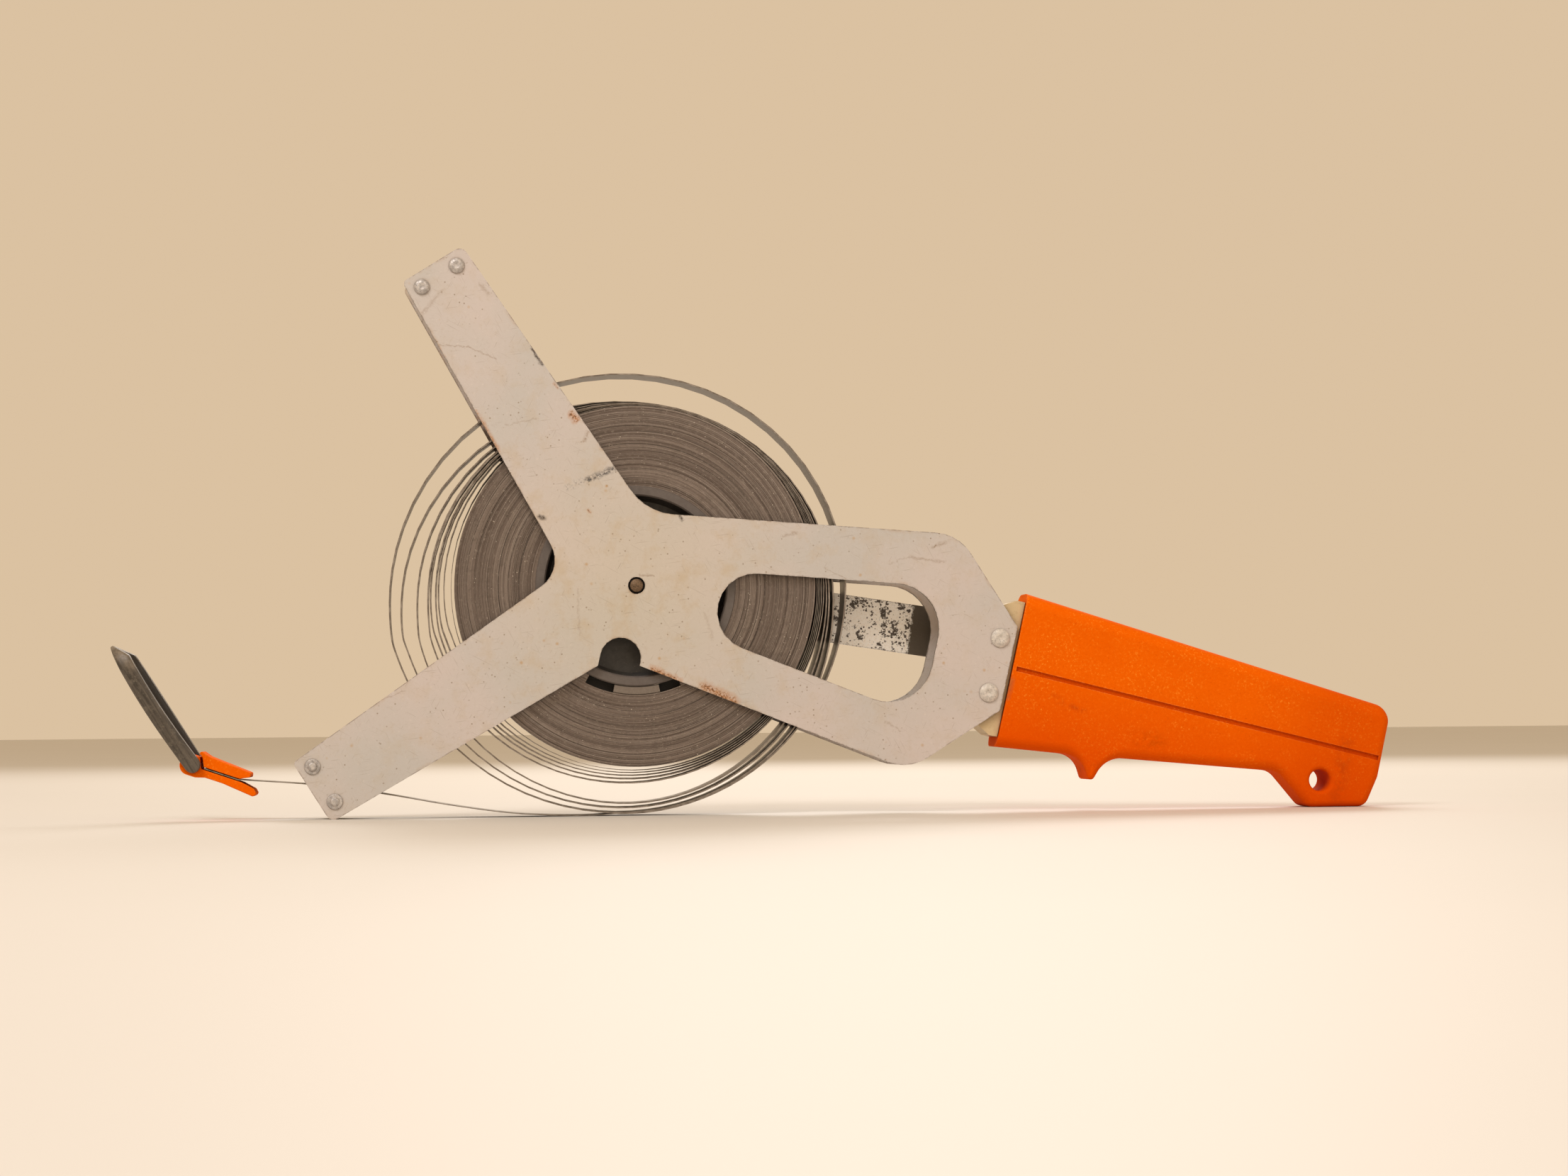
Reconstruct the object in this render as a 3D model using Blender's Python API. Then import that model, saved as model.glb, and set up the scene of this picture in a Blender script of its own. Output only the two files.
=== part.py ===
"""Open-frame long steel tape: a flat tape wound on a hub between two pressed plates.

Lengths are millimetres until MM turns them into metres.  +X points to the handle,
+Y along the reel's axle from the front plate to the crank, and +Z is up.  The tool
stands on the tip of its lower arm and on the foot of its grip, and the origin is
at the middle of the base of its bounding box.
"""
import math

import bmesh
import bpy
from mathutils import Vector

MM = 0.001
GAP = 0.3                       # clearance between pieces that touch

# Where the reel's axle crosses the front plate's outer face, and how the frame stands.
AXLE_X = -44.7
AXLE_Y = -30.3
AXLE_Z = 81.0
HANDLE_DROP = 12.8              # degrees from level down to the handle's centre line
CRANK_DROP = 8.6                # degrees from level down to the crank arm

# Frame plates, in the handle's own directions: u along the handle, v across it.
PLATE_THICK = 1.5
FRAME_WIDTH = 19.0              # over both plates
ARM_SPREAD = 135.0              # degrees from the handle to each free arm
ARM_REACH = 134.0
ARM_FRONT_HALF = 12.6           # from an arm's centre line to its handle-side edge, at its tip
ARM_BACK_HALF = 12.0
ARM_FRONT_FLARE = 2.1           # degrees each edge opens towards the hub
ARM_BACK_FLARE = 3.1
ARM_CORNER = 3.0                # at the tip, towards the handle
ARM_BACK_CORNER = 1.6
ARM_CROTCH = 11.3               # fillet between the two free arms
NECK_HALF = 26.3                # half height of the handle arm at the axle
NECK_FLARE = 8.8                # degrees its edges open towards the grip
NECK_FILLET = 20.0
PLATE_END = 136.4
PLATE_END_HALF = 15.3
SHOULDER_FILLET = 16.0
NOTCH_V = -26.2
NOTCH_R = 7.2
WINDOW_NOSE_U = 43.3
WINDOW_NOSE_R = 13.7
WINDOW_END_U = 109.1
WINDOW_FLARE = 8.6              # degrees its edges open towards the grip
WINDOW_FILLET = 16.0

# Fasteners.
TIP_RIVET_REACH = 129.0
TIP_RIVET_HALF_PITCH = 7.2
TIP_RIVET_HEAD_R = 2.75
GRIP_RIVET_U = 131.1
GRIP_RIVET_HALF_PITCH = 10.0
GRIP_RIVET_HEAD_R = 3.15
RIVET_SHANK_R = 2.2
RIVET_HEAD_HIGH = 1.1
ROLLER_R = 4.0

# Handle.
CORE_SIDE = 0.3                 # clearance from the core to each plate
CORE_NOSE_U = 113.0
CORE_NOSE_HALF = 12.5
CORE_SHOULDER_U = 134.6
CORE_SHOULDER_HALF = 24.6
TONGUE_DEPTH = 2.8              # from the frame's outer face to the tongue's face
TONGUE_END_U = 178.0
GRIP_MOUTH_U = 137.9
GRIP_SIDE = 0.25                # how far the grip's faces lie inside the frame's width
GRIP_WALL = 2.2
GRIP_ROUND = 2.0
GRIP_END_U = 277.9
GROOVE_WIDE = 1.3
GROOVE_DEEP = 0.7
GROOVE_START_U = 139.2
GROOVE_START_V = 0.6
GROOVE_FALL = 3.1               # how far it runs down to the grip's end
HANG_HOLE_U = 256.7
HANG_HOLE_V = -14.8
HANG_HOLE_R = 3.85
HANG_HOLE_CHAMFER = 1.0
FOOT_HEEL_U = 254.6
FOOT_TOE = (275.5, -20.4)

# Reel.
TAPE_WIDE = 13.0
TAPE_THICK = 0.3
HUB_R = 35.5
HUB_RIM = 3.5
HUB_WEB_Y = 8.5
HUB_WEB_THICK = 2.0
HUB_BOSS_R = 8.0
HUB_SIDE = 2.6                  # from the frame's outer face to the hub's rim
FIRST_TURNS_R = 35.9
PACK_IN_R = 38.6
PACK_OUT_R = 63.6
ANCHOR_HALF_ANGLE = 12.5        # of the clip at the lowest point of the hub
ANCHOR_SLOT_TO_LEFT = 28.0      # degrees from the clip's middle to where the turns resume
ANCHOR_SLOT_TO_RIGHT = 24.0
AXLE_R = 2.7
WASHER_R = 7.0
WASHER_THICK = 0.5
CRANK_WASHER_R = 6.0

# Crank.
CRANK_HALF = 9.0
CRANK_TAIL = 10.0
CRANK_CORNER = 8.9
CRANK_REACH = 119.0
CRANK_THICK = 2.0
CRANK_Y = 20.8                  # front face of the arm
FOLD_REACH = 110.0
FOLD_Y = 30.6
FOLD_PIN_R = 1.5
EAR_HALF = 4.0
EAR_IN = 5.2
EAR_THICK = 2.0
EYE_HALF = 3.9                  # the spindle's block between the ears
EYE_REACH = 4.0
SPINDLE_R = 2.4
KNOB_START = 35.2
KNOB_LENGTH = 25.5
NUT_R = 5.8
NUT_HIGH = 4.0
AXLE_STICKS_OUT = 1.2           # beyond the nut

# Loose outer turns of the tape, and its free end.
LOOSE_STEPS = 36                # stations in one turn
LOOSE_ANGLES = (-102.0, -45.0, 0.0, 90.0, 180.0)
LOOSE_RADII = (                 # each turn's distance from the axle at those angles
    (80.2, 76.5, 74.7, 75.2, 86.2),
    (79.4, 74.9, 69.9, 67.4, 81.9),
    (78.4, 73.3, 69.1, 66.7, 76.6),
    (76.9, 71.7, 68.3, 66.0, 72.4),
    (69.5, 67.2, 67.0, 65.4, 70.0),
    (67.4, 66.0, 65.8, 64.8, 67.0))
LOOSE_IN_R = 65.4               # where the innermost turn meets the pack
LOOSE_TAIL = ((-87.0, -72.7), (-66.0, -76.4), (-47.0, -79.0), (-31.0, -80.2))
PULL_RISE = 3.5                 # degrees the tape climbs as it leaves the guide rollers
CLAMP_DROP = 19.0               # degrees the clamp hangs below level
RING_PIVOT_X = -154.3           # from the axle
RING_PIVOT_Z = -61.5
RING_RISE = 122.4               # degrees from +X to the ring's long direction
RING_LENGTH = 50.0
RING_OUT_HALF = 10.7
RING_BAND = 3.4
RING_PIN_R = 1.0
RING_BARREL_R = 3.0             # round its pin
RING_STRAIGHT = 32.0            # where the sides begin to bow
RING_BEVEL_FROM = 43.5          # the tip thins from here on its inner side
RING_BEVEL_SLOPE = 0.62
RING_LEAN = 0.7                 # how far its front and rear sides part at their middle
CLAMP_HALF = 7.0
CLAMP_RIVET_S = 10.0
CLAMP_RIVET_R = 1.2
CLAMP_RIVET_HEAD_R = 2.0
CLAMP_RIVET_SINK = 0.8
CLAMP_RIVET_TOP = 3.9
CLAMP_RIVET_FOOT = -2.6
LEAD_START_S = 4.4
LEAD_MOUTH_S = 17.2             # where it leaves the jaws and starts to bend
LEAD_BACK = 73.0                # its straight run from the bend in past the rollers
JAW_GAP = 0.45                  # from the parting line to each jaw


def clear_scene():
    for obj in list(bpy.data.objects):
        bpy.data.objects.remove(obj, do_unlink=True)


def material(name, colour, roughness, metallic):
    mat = bpy.data.materials.new(name)
    mat.use_nodes = True
    shader = mat.node_tree.nodes["Principled BSDF"]
    shader.inputs["Base Color"].default_value = (*colour, 1.0)
    shader.inputs["Roughness"].default_value = roughness
    shader.inputs["Metallic"].default_value = metallic
    return mat


def empty(name, place, parent=None, turn=0.0):
    """An axis system at place; turn is degrees about Y, positive from +Z to +X."""
    frame = bpy.data.objects.new(name, None)
    bpy.context.collection.objects.link(frame)
    frame.parent = parent
    frame.location = Vector(place) * MM
    frame.rotation_euler = (0.0, math.radians(turn), 0.0)
    return frame


def add_solid(name, mesh_data, parent, mat, smooth=True):
    bmesh.ops.recalc_face_normals(mesh_data, faces=mesh_data.faces)
    mesh = bpy.data.meshes.new(name)
    mesh_data.to_mesh(mesh)
    mesh_data.free()
    if smooth:
        mesh.shade_smooth()
        mesh.set_sharp_from_angle(angle=math.radians(35.0))
    solid = bpy.data.objects.new(name, mesh)
    bpy.context.collection.objects.link(solid)
    solid.parent = parent
    mesh.materials.append(mat)
    return solid


def combine(target, tool, operation):
    """Cut or join target with a hidden tool object."""
    tool.hide_render = True
    tool.display_type = "WIRE"
    step = target.modifiers.new(tool.name, "BOOLEAN")
    step.operation = operation
    step.solver = "EXACT"
    step.object = tool


def rounded(corners, arc_step=12.0):
    """Outline through corners given as (x, z, fillet radius), round stretches as arcs."""
    outline = []
    count = len(corners)
    for i, (x, z, radius) in enumerate(corners):
        here = Vector((x, z))
        before = (Vector(corners[i - 1][:2]) - here).normalized()
        after = (Vector(corners[(i + 1) % count][:2]) - here).normalized()
        if radius <= 0.0:
            outline.append(here)
            continue
        opening = before.angle(after)
        centre = here + (before + after).normalized() * radius / math.sin(opening / 2)
        setback = radius / math.tan(opening / 2)
        first = here + before * setback - centre
        turn = math.pi - opening
        if before.x * after.y - before.y * after.x > 0.0:
            turn = -turn
        steps = max(2, math.ceil(abs(math.degrees(turn)) / arc_step))
        for k in range(steps + 1):
            angle = turn * k / steps
            outline.append(centre + Vector((
                first.x * math.cos(angle) - first.y * math.sin(angle),
                first.x * math.sin(angle) + first.y * math.cos(angle))))
    return outline


def circle(x, z, radius, segments):
    step = 2 * math.pi / segments
    return [Vector((x + radius * math.cos(k * step), z + radius * math.sin(k * step)))
            for k in range(segments)]


def prism(outline, y_low, y_high):
    """Closed solid: an XZ outline extruded along Y."""
    shape = bmesh.new()
    face = shape.faces.new([shape.verts.new((p[0] * MM, y_low * MM, p[1] * MM)) for p in outline])
    side = bmesh.ops.extrude_face_region(shape, geom=[face])
    moved = [v for v in side["geom"] if isinstance(v, bmesh.types.BMVert)]
    bmesh.ops.translate(shape, verts=moved, vec=(0.0, (y_high - y_low) * MM, 0.0))
    return shape


def across_prism(outline, z_low, z_high):
    """Closed solid: an XY outline extruded along Z."""
    shape = bmesh.new()
    face = shape.faces.new([shape.verts.new((x * MM, y * MM, z_low * MM)) for x, y in outline])
    side = bmesh.ops.extrude_face_region(shape, geom=[face])
    moved = [v for v in side["geom"] if isinstance(v, bmesh.types.BMVert)]
    bmesh.ops.translate(shape, verts=moved, vec=(0.0, 0.0, (z_high - z_low) * MM))
    return shape


def turned(profile, segments, closed=True):
    """Solid of revolution about Y; profile is (radius, y), an open one ends on the axis."""
    shape = bmesh.new()
    verts = [shape.verts.new((r * MM, y * MM, 0.0)) for r, y in profile]
    edges = [shape.edges.new(pair) for pair in zip(verts, verts[1:])]
    if closed:
        edges.append(shape.edges.new((verts[-1], verts[0])))
    bmesh.ops.spin(shape, geom=verts + edges, cent=(0, 0, 0), axis=(0, 1, 0),
                   angle=2 * math.pi, steps=segments, use_merge=True)
    bmesh.ops.remove_doubles(shape, verts=shape.verts, dist=1e-7)
    return shape


def band(stations):
    """Closed bar through stations, each a ring of four points in metres."""
    shape = bmesh.new()
    rings = [[shape.verts.new(point) for point in station] for station in stations]
    for ring, following in zip(rings, rings[1:]):
        for k in range(4):
            shape.faces.new((ring[k], ring[k - 1], following[k - 1], following[k]))
    shape.faces.new(rings[0])
    shape.faces.new(reversed(rings[-1]))
    return shape


def ribbon(path, y_low, y_high, thick):
    """Tape of the given thickness along a path of XZ points."""
    stations = []
    for i, here in enumerate(path):
        along = (path[min(i + 1, len(path) - 1)] - path[max(i - 1, 0)]).normalized()
        side = Vector((-along.y, along.x)) * thick / 2
        inner, outer = here - side, here + side
        stations.append([Vector((p.x, y, p.y)) * MM for p, y in (
            (inner, y_low), (outer, y_low), (outer, y_high), (inner, y_high))])
    return band(stations)


# ---------------------------------------------------------------- frame and handle

def arm_point(reach, aside, side):
    """A point on a free arm: reach from the axle, aside towards the handle, side +1 upper."""
    angle = math.radians(ARM_SPREAD)
    along = Vector((math.cos(angle), math.sin(angle)))
    across = Vector((math.sin(angle), -math.cos(angle)))
    point = along * reach + across * aside
    return Vector((point.x, point.y * side))


def meet(point_a, way_a, point_b, way_b):
    """Where two lines cross."""
    gap = point_b - point_a
    return point_a + way_a * (gap.cross(way_b) / way_a.cross(way_b))


def plate_outline():
    front_root = ARM_FRONT_HALF + ARM_REACH * math.tan(math.radians(ARM_FRONT_FLARE))
    back_root = ARM_BACK_HALF + ARM_REACH * math.tan(math.radians(ARM_BACK_FLARE))
    tip_front = arm_point(ARM_REACH, ARM_FRONT_HALF, 1)
    tip_back = arm_point(ARM_REACH, -ARM_BACK_HALF, 1)
    front_way = arm_point(0.0, front_root, 1) - tip_front
    back_way = arm_point(0.0, -back_root, 1) - tip_back
    flare = math.radians(NECK_FLARE)
    neck_start = Vector((0.0, NECK_HALF))
    neck_way = Vector((math.cos(flare), math.sin(flare)))
    end_top = Vector((PLATE_END, PLATE_END_HALF))
    shoulder = meet(neck_start, neck_way, end_top, Vector((-1.0, 1.0)))
    armpit = meet(neck_start, neck_way, tip_front, front_way)
    crotch = meet(Vector((0.0, 0.0)), Vector((1.0, 0.0)), tip_back, back_way)
    upper = [(end_top, 1.0), (shoulder, SHOULDER_FILLET), (armpit, NECK_FILLET),
             (tip_front, ARM_CORNER), (tip_back, ARM_BACK_CORNER)]
    lower = [(Vector((p.x, -p.y)), r) for p, r in reversed(upper)]
    lower[2] = (lower[2][0], 0.0)
    corners = upper + [(crotch, ARM_CROTCH)] + lower
    return rounded([(p.x, p.y, r) for p, r in corners])


def window_outline():
    """Rounded at the hub end about one centre, and square with fillets at the grip end."""
    slope = math.radians(WINDOW_FLARE)
    nose = []
    start = math.radians(90.0) + slope
    sweep = 2 * (math.pi - start)
    steps = 10
    for k in range(steps + 1):
        angle = start + sweep * k / steps
        nose.append((WINDOW_NOSE_U + WINDOW_NOSE_R * math.cos(angle),
                     WINDOW_NOSE_R * math.sin(angle), 0.0))
    end_half = nose[0][1] + (WINDOW_END_U - nose[0][0]) * math.tan(slope)
    ends = [(WINDOW_END_U, -end_half, WINDOW_FILLET), (WINDOW_END_U, end_half, WINDOW_FILLET)]
    return rounded(nose + ends)


def notch_outline():
    steps = 10
    arch = [Vector((NOTCH_R * math.cos(math.pi * k / steps),
                    NOTCH_V + NOTCH_R * math.sin(math.pi * k / steps))) for k in range(steps + 1)]
    foot = NOTCH_V - 2 * NOTCH_R
    return arch + [Vector((-NOTCH_R, foot)), Vector((NOTCH_R, foot))]


def rivet_places():
    tips = {}
    for side, side_name in ((1, "upper"), (-1, "lower")):
        for way, way_name in ((-1, "outer"), (1, "inner")):
            place = arm_point(TIP_RIVET_REACH, way * TIP_RIVET_HALF_PITCH, side)
            tips[f"{side_name}_{way_name}"] = place
    grips = {"upper": Vector((GRIP_RIVET_U, GRIP_RIVET_HALF_PITCH)),
             "lower": Vector((GRIP_RIVET_U, -GRIP_RIVET_HALF_PITCH))}
    return tips, grips


def frame_plate(name, y_low, frame, mat):
    plate = add_solid(name, prism(plate_outline(), y_low, y_low + PLATE_THICK), frame, mat, False)
    tips, grips = rivet_places()
    holes = [("window", window_outline()), ("notch", notch_outline()),
             ("axle_hole", circle(0.0, 0.0, AXLE_R + GAP, 20))]
    for key, place in list(tips.items()) + list(grips.items()):
        holes.append((f"rivet_hole_{key}", circle(place.x, place.y, RIVET_SHANK_R + GAP, 12)))
    for hole_name, outline in holes:
        shape = prism(outline, y_low - 1.0, y_low + PLATE_THICK + 1.0)
        combine(plate, add_solid(f"{name}_{hole_name}", shape, frame, mat), "DIFFERENCE")
    return plate


def rivet(name, place, head_r, frame, mat):
    """A domed head on each side of the frame and one shank through it."""
    low, high = -GAP, FRAME_WIDTH + GAP
    dome = RIVET_HEAD_HIGH
    profile = [(0.0, low - dome), (head_r * 0.6, low - dome * 0.8), (head_r, low - dome * 0.25),
               (head_r, low), (RIVET_SHANK_R, low), (RIVET_SHANK_R, high), (head_r, high),
               (head_r, high + dome * 0.25), (head_r * 0.6, high + dome * 0.8),
               (0.0, high + dome)]
    solid = add_solid(name, turned(profile, 14, closed=False), frame, mat)
    solid.location = Vector((place.x, 0.0, place.y)) * MM


def guide_roller(name, place, frame, mat):
    low = PLATE_THICK + GAP
    high = FRAME_WIDTH - low
    bore = RIVET_SHANK_R + GAP
    profile = [(bore, low), (ROLLER_R, low), (ROLLER_R, high), (bore, high)]
    solid = add_solid(name, turned(profile, 16), frame, mat)
    solid.location = Vector((place.x, 0.0, place.y)) * MM


def tongue_outline(spare):
    """The part of the core inside the grip, grown by spare on every side."""
    end = TONGUE_END_U + spare
    return rounded([(134.0, -24.4 - spare, 0.0), (end, -19.6 - spare, 4.0),
                    (end, 20.4 + spare, 4.0), (134.0, 24.4 + spare, 0.0)])


def handle_core(frame, mat):
    y_low = PLATE_THICK + CORE_SIDE
    nose, shoulder = CORE_NOSE_HALF, CORE_SHOULDER_HALF
    end = GRIP_MOUTH_U - GAP
    block = rounded([(CORE_NOSE_U, -nose, 3.0), (CORE_SHOULDER_U, -shoulder, 1.0),
                     (end, -shoulder, 0.0), (end, shoulder, 0.0),
                     (CORE_SHOULDER_U, shoulder, 1.0), (CORE_NOSE_U, nose, 3.0)])
    core = add_solid("handle_core", prism(block, y_low, FRAME_WIDTH - y_low), frame, mat, False)
    tongue = prism(tongue_outline(0.0), TONGUE_DEPTH, FRAME_WIDTH - TONGUE_DEPTH)
    combine(core, add_solid("core_tongue", tongue, frame, mat), "UNION")
    for key, place in rivet_places()[1].items():
        hole = prism(circle(place.x, place.y, RIVET_SHANK_R + GAP, 12), 0.0, FRAME_WIDTH)
        combine(core, add_solid(f"core_hole_{key}", hole, frame, mat), "DIFFERENCE")


def grip_outline():
    """Sleeve, finger spur below, and the foot at its end, whose underside is level."""
    foot_slope = math.tan(math.radians(HANDLE_DROP))
    toe_u, toe_v = FOOT_TOE
    heel_v = toe_v - (toe_u - FOOT_HEEL_U) * foot_slope
    return rounded([
        (GRIP_MOUTH_U, -28.1, 0.0), (168.9, -24.6, 9.0), (174.3, -34.4, 1.4),
        (178.2, -23.2, 11.0),
        (241.2, -14.8, 7.0), (FOOT_HEEL_U, heel_v, 5.0), (toe_u, toe_v, 5.0),
        (GRIP_END_U, -9.0, 6.0), (GRIP_END_U, 16.4, 6.0), (GRIP_MOUTH_U, 28.0, 0.0)])


def handle_grip(frame, mat):
    low, high = GRIP_SIDE, FRAME_WIDTH - GRIP_SIDE
    shape = prism(grip_outline(), low, high)
    mouth = (GRIP_MOUTH_U + 0.01) * MM
    rims = [e for e in shape.edges
            if abs(e.verts[0].co.y - e.verts[1].co.y) < 1e-6
            and not (e.verts[0].co.x < mouth and e.verts[1].co.x < mouth)]
    bmesh.ops.bevel(shape, geom=rims, offset=GRIP_ROUND * MM, segments=3, profile=0.5,
                    affect="EDGES")
    grip = add_solid("handle_grip", shape, frame, mat)
    pocket = prism(tongue_outline(GAP), GRIP_SIDE + GRIP_WALL, FRAME_WIDTH - GRIP_SIDE - GRIP_WALL)
    combine(grip, add_solid("grip_pocket", pocket, frame, mat), "DIFFERENCE")
    flare = HANG_HOLE_CHAMFER
    rim = HANG_HOLE_R + 2 * flare
    hole = turned([(0.0, low - flare), (rim, low - flare), (HANG_HOLE_R, low + flare),
                   (HANG_HOLE_R, high - flare), (rim, high + flare), (0.0, high + flare)],
                  20, closed=False)
    hanger = add_solid("grip_hanging_hole", hole, frame, mat)
    hanger.location = Vector((HANG_HOLE_U, 0.0, HANG_HOLE_V)) * MM
    combine(grip, hanger, "DIFFERENCE")
    half = GROOVE_WIDE / 2
    past_end = GRIP_END_U + 3.0
    end_v = GROOVE_START_V - GROOVE_FALL
    line = [Vector((GROOVE_START_U, GROOVE_START_V - half)), Vector((past_end, end_v - half)),
            Vector((past_end, end_v + half)), Vector((GROOVE_START_U, GROOVE_START_V + half))]
    for side_name, y_low, y_high in (("front", -1.0, low + GROOVE_DEEP),
                                     ("rear", high - GROOVE_DEEP, FRAME_WIDTH + 1.0)):
        groove = add_solid(f"grip_groove_{side_name}", prism(line, y_low, y_high), frame, mat)
        combine(grip, groove, "DIFFERENCE")


# ---------------------------------------------------------------- reel and crank

def reel_hub(frame, mat):
    low, high = HUB_SIDE, FRAME_WIDTH - HUB_SIDE
    web_low, web_high = HUB_WEB_Y, HUB_WEB_Y + HUB_WEB_THICK
    rim_in = HUB_R - HUB_RIM
    bore = AXLE_R + GAP
    profile = [(bore, low), (HUB_BOSS_R, low), (HUB_BOSS_R, web_low), (rim_in, web_low),
               (rim_in, low), (HUB_R, low), (HUB_R, high), (rim_in, high), (rim_in, web_high),
               (HUB_BOSS_R, web_high), (HUB_BOSS_R, high), (bore, high)]
    add_solid("reel_hub", turned(profile, 40), frame, mat)


def arc_slab(r_in, r_out, start, end, y_low, y_high, steps):
    """A piece of a ring between two angles in degrees."""
    def along(radius, angles):
        return [Vector((radius * math.cos(a), radius * math.sin(a))) for a in angles]
    angles = [math.radians(start + (end - start) * k / steps) for k in range(steps + 1)]
    return prism(along(r_out, angles) + along(r_in, reversed(angles)), y_low, y_high)


def wound_tape(frame, tape_mat, clip_mat):
    y_low = (FRAME_WIDTH - TAPE_WIDE) / 2
    y_high = y_low + TAPE_WIDE
    pack = [(PACK_IN_R, y_low), (PACK_OUT_R, y_low), (PACK_OUT_R, y_high), (PACK_IN_R, y_high)]
    add_solid("tape_pack", turned(pack, 56), frame, tape_mat)
    first_out = PACK_IN_R - GAP
    lowest = CRANK_DROP - 90.0
    first = arc_slab(FIRST_TURNS_R, first_out, lowest + ANCHOR_SLOT_TO_RIGHT,
                     lowest + 360.0 - ANCHOR_SLOT_TO_LEFT, y_low, y_high, 40)
    add_solid("tape_first_turns", first, frame, tape_mat)
    clip = arc_slab(FIRST_TURNS_R, first_out, lowest - ANCHOR_HALF_ANGLE,
                    lowest + ANCHOR_HALF_ANGLE, y_low, y_high, 6)
    add_solid("tape_anchor_clip", clip, frame, clip_mat)


def washer(name, radius, y_low, y_high, frame, mat):
    bore = AXLE_R + GAP
    profile = [(bore, y_low), (radius, y_low), (radius, y_high), (bore, y_high)]
    add_solid(name, turned(profile, 20), frame, mat)


def axle(frame, mat):
    end = CRANK_Y + CRANK_THICK + GAP + NUT_HIGH + AXLE_STICKS_OUT
    profile = [(0.0, -0.35), (AXLE_R * 0.7, -0.25), (AXLE_R, 0.0), (AXLE_R, end - 0.5),
               (AXLE_R - 0.5, end), (0.0, end)]
    add_solid("axle", turned(profile, 16, closed=False), frame, mat)


def crank_arm(frame, mat):
    """Flat strip with round ends, and two ears that carry the fold pin."""
    y_back = CRANK_Y + CRANK_THICK
    corners = ((-CRANK_TAIL, -CRANK_HALF), (CRANK_REACH, -CRANK_HALF),
               (CRANK_REACH, CRANK_HALF), (-CRANK_TAIL, CRANK_HALF))
    strip = rounded([(x, z, CRANK_CORNER) for x, z in corners])
    arm = add_solid("crank_arm", prism(strip, CRANK_Y, y_back), frame, mat, False)
    hole = prism(circle(0.0, 0.0, AXLE_R + GAP, 16), CRANK_Y - 1.0, y_back + 1.0)
    combine(arm, add_solid("crank_axle_hole", hole, frame, mat), "DIFFERENCE")
    steps = 8
    top = [(FOLD_REACH + EAR_HALF * math.cos(math.pi * k / steps),
            FOLD_Y + EAR_HALF * math.sin(math.pi * k / steps)) for k in range(steps + 1)]
    foot = y_back - 0.5
    side_view = top + [(FOLD_REACH - EAR_HALF, foot), (FOLD_REACH + EAR_HALF, foot)]
    for side in (-1, 1):
        low = min(side * EAR_IN, side * (EAR_IN + EAR_THICK))
        ear = add_solid(f"crank_ear_{side + 2}", across_prism(side_view, low, low + EAR_THICK),
                        frame, mat)
        combine(arm, ear, "UNION")
    pin_hole = across_prism([(FOLD_REACH + x, FOLD_Y + y) for x, y in
                             circle(0, 0, FOLD_PIN_R + GAP, 12)], -10.0, 10.0)
    combine(arm, add_solid("crank_pin_hole", pin_hole, frame, mat), "DIFFERENCE")


def fold_pin(frame, mat):
    reach = EAR_IN + EAR_THICK + GAP
    head_r, head = FOLD_PIN_R + 1.0, 0.9
    profile = [(0.0, -reach - head), (head_r, -reach - head), (head_r, -reach),
               (FOLD_PIN_R, -reach), (FOLD_PIN_R, reach), (head_r, reach),
               (head_r, reach + head), (0.0, reach + head)]
    pin = add_solid("crank_fold_pin", turned(profile, 14, closed=False), frame, mat)
    pin.location = Vector((FOLD_REACH, FOLD_Y, 0.0)) * MM
    pin.rotation_euler = (math.radians(90.0), 0.0, 0.0)


def knob_and_spindle(frame, metal, plastic):
    """Both turn about the fold pin; the knob also spins on the spindle."""
    fold = empty("crank_fold_axis", (FOLD_REACH, FOLD_Y, 0.0), frame)
    start = KNOB_START - FOLD_Y
    end = start + KNOB_LENGTH
    eye = EAR_IN - GAP
    side_view = rounded([(-EYE_HALF, -EYE_REACH, 3.0), (EYE_HALF, -EYE_REACH, 3.0),
                         (EYE_HALF, EYE_REACH, 0.6), (-EYE_HALF, EYE_REACH, 0.6)])
    block = add_solid("knob_spindle", across_prism(side_view, -eye, eye), fold, metal, False)
    root = EYE_REACH - 1.0
    head_r = SPINDLE_R + 1.4
    post = turned([(0.0, root), (SPINDLE_R, root), (SPINDLE_R, end + GAP), (head_r, end + GAP),
                   (head_r, end + 1.2), (SPINDLE_R, end + 1.8), (0.0, end + 1.8)],
                  16, closed=False)
    combine(block, add_solid("spindle_post", post, fold, metal), "UNION")
    hole = across_prism(circle(0, 0, FOLD_PIN_R + GAP, 12), -10.0, 10.0)
    combine(block, add_solid("spindle_hole", hole, fold, metal), "DIFFERENCE")
    bore = SPINDLE_R + GAP
    profile = [(bore, start), (5.4, start), (6.1, start + 1.2), (6.6, start + 8.0),
               (7.1, start + 17.0), (6.8, end - 2.5), (5.6, end), (bore, end)]
    add_solid("crank_knob", turned(profile, 20), fold, plastic)


def crank_nut(frame, mat):
    y_low = CRANK_Y + CRANK_THICK + GAP
    y_high = y_low + NUT_HIGH
    nut = add_solid("crank_nut", prism(circle(0.0, 0.0, NUT_R, 6), y_low, y_high), frame, mat,
                    False)
    bore = prism(circle(0.0, 0.0, AXLE_R + GAP, 16), y_low - 1.0, y_high + 1.0)
    combine(nut, add_solid("nut_bore", bore, frame, mat), "DIFFERENCE")


# ---------------------------------------------------------------- loose tape and its end

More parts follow.
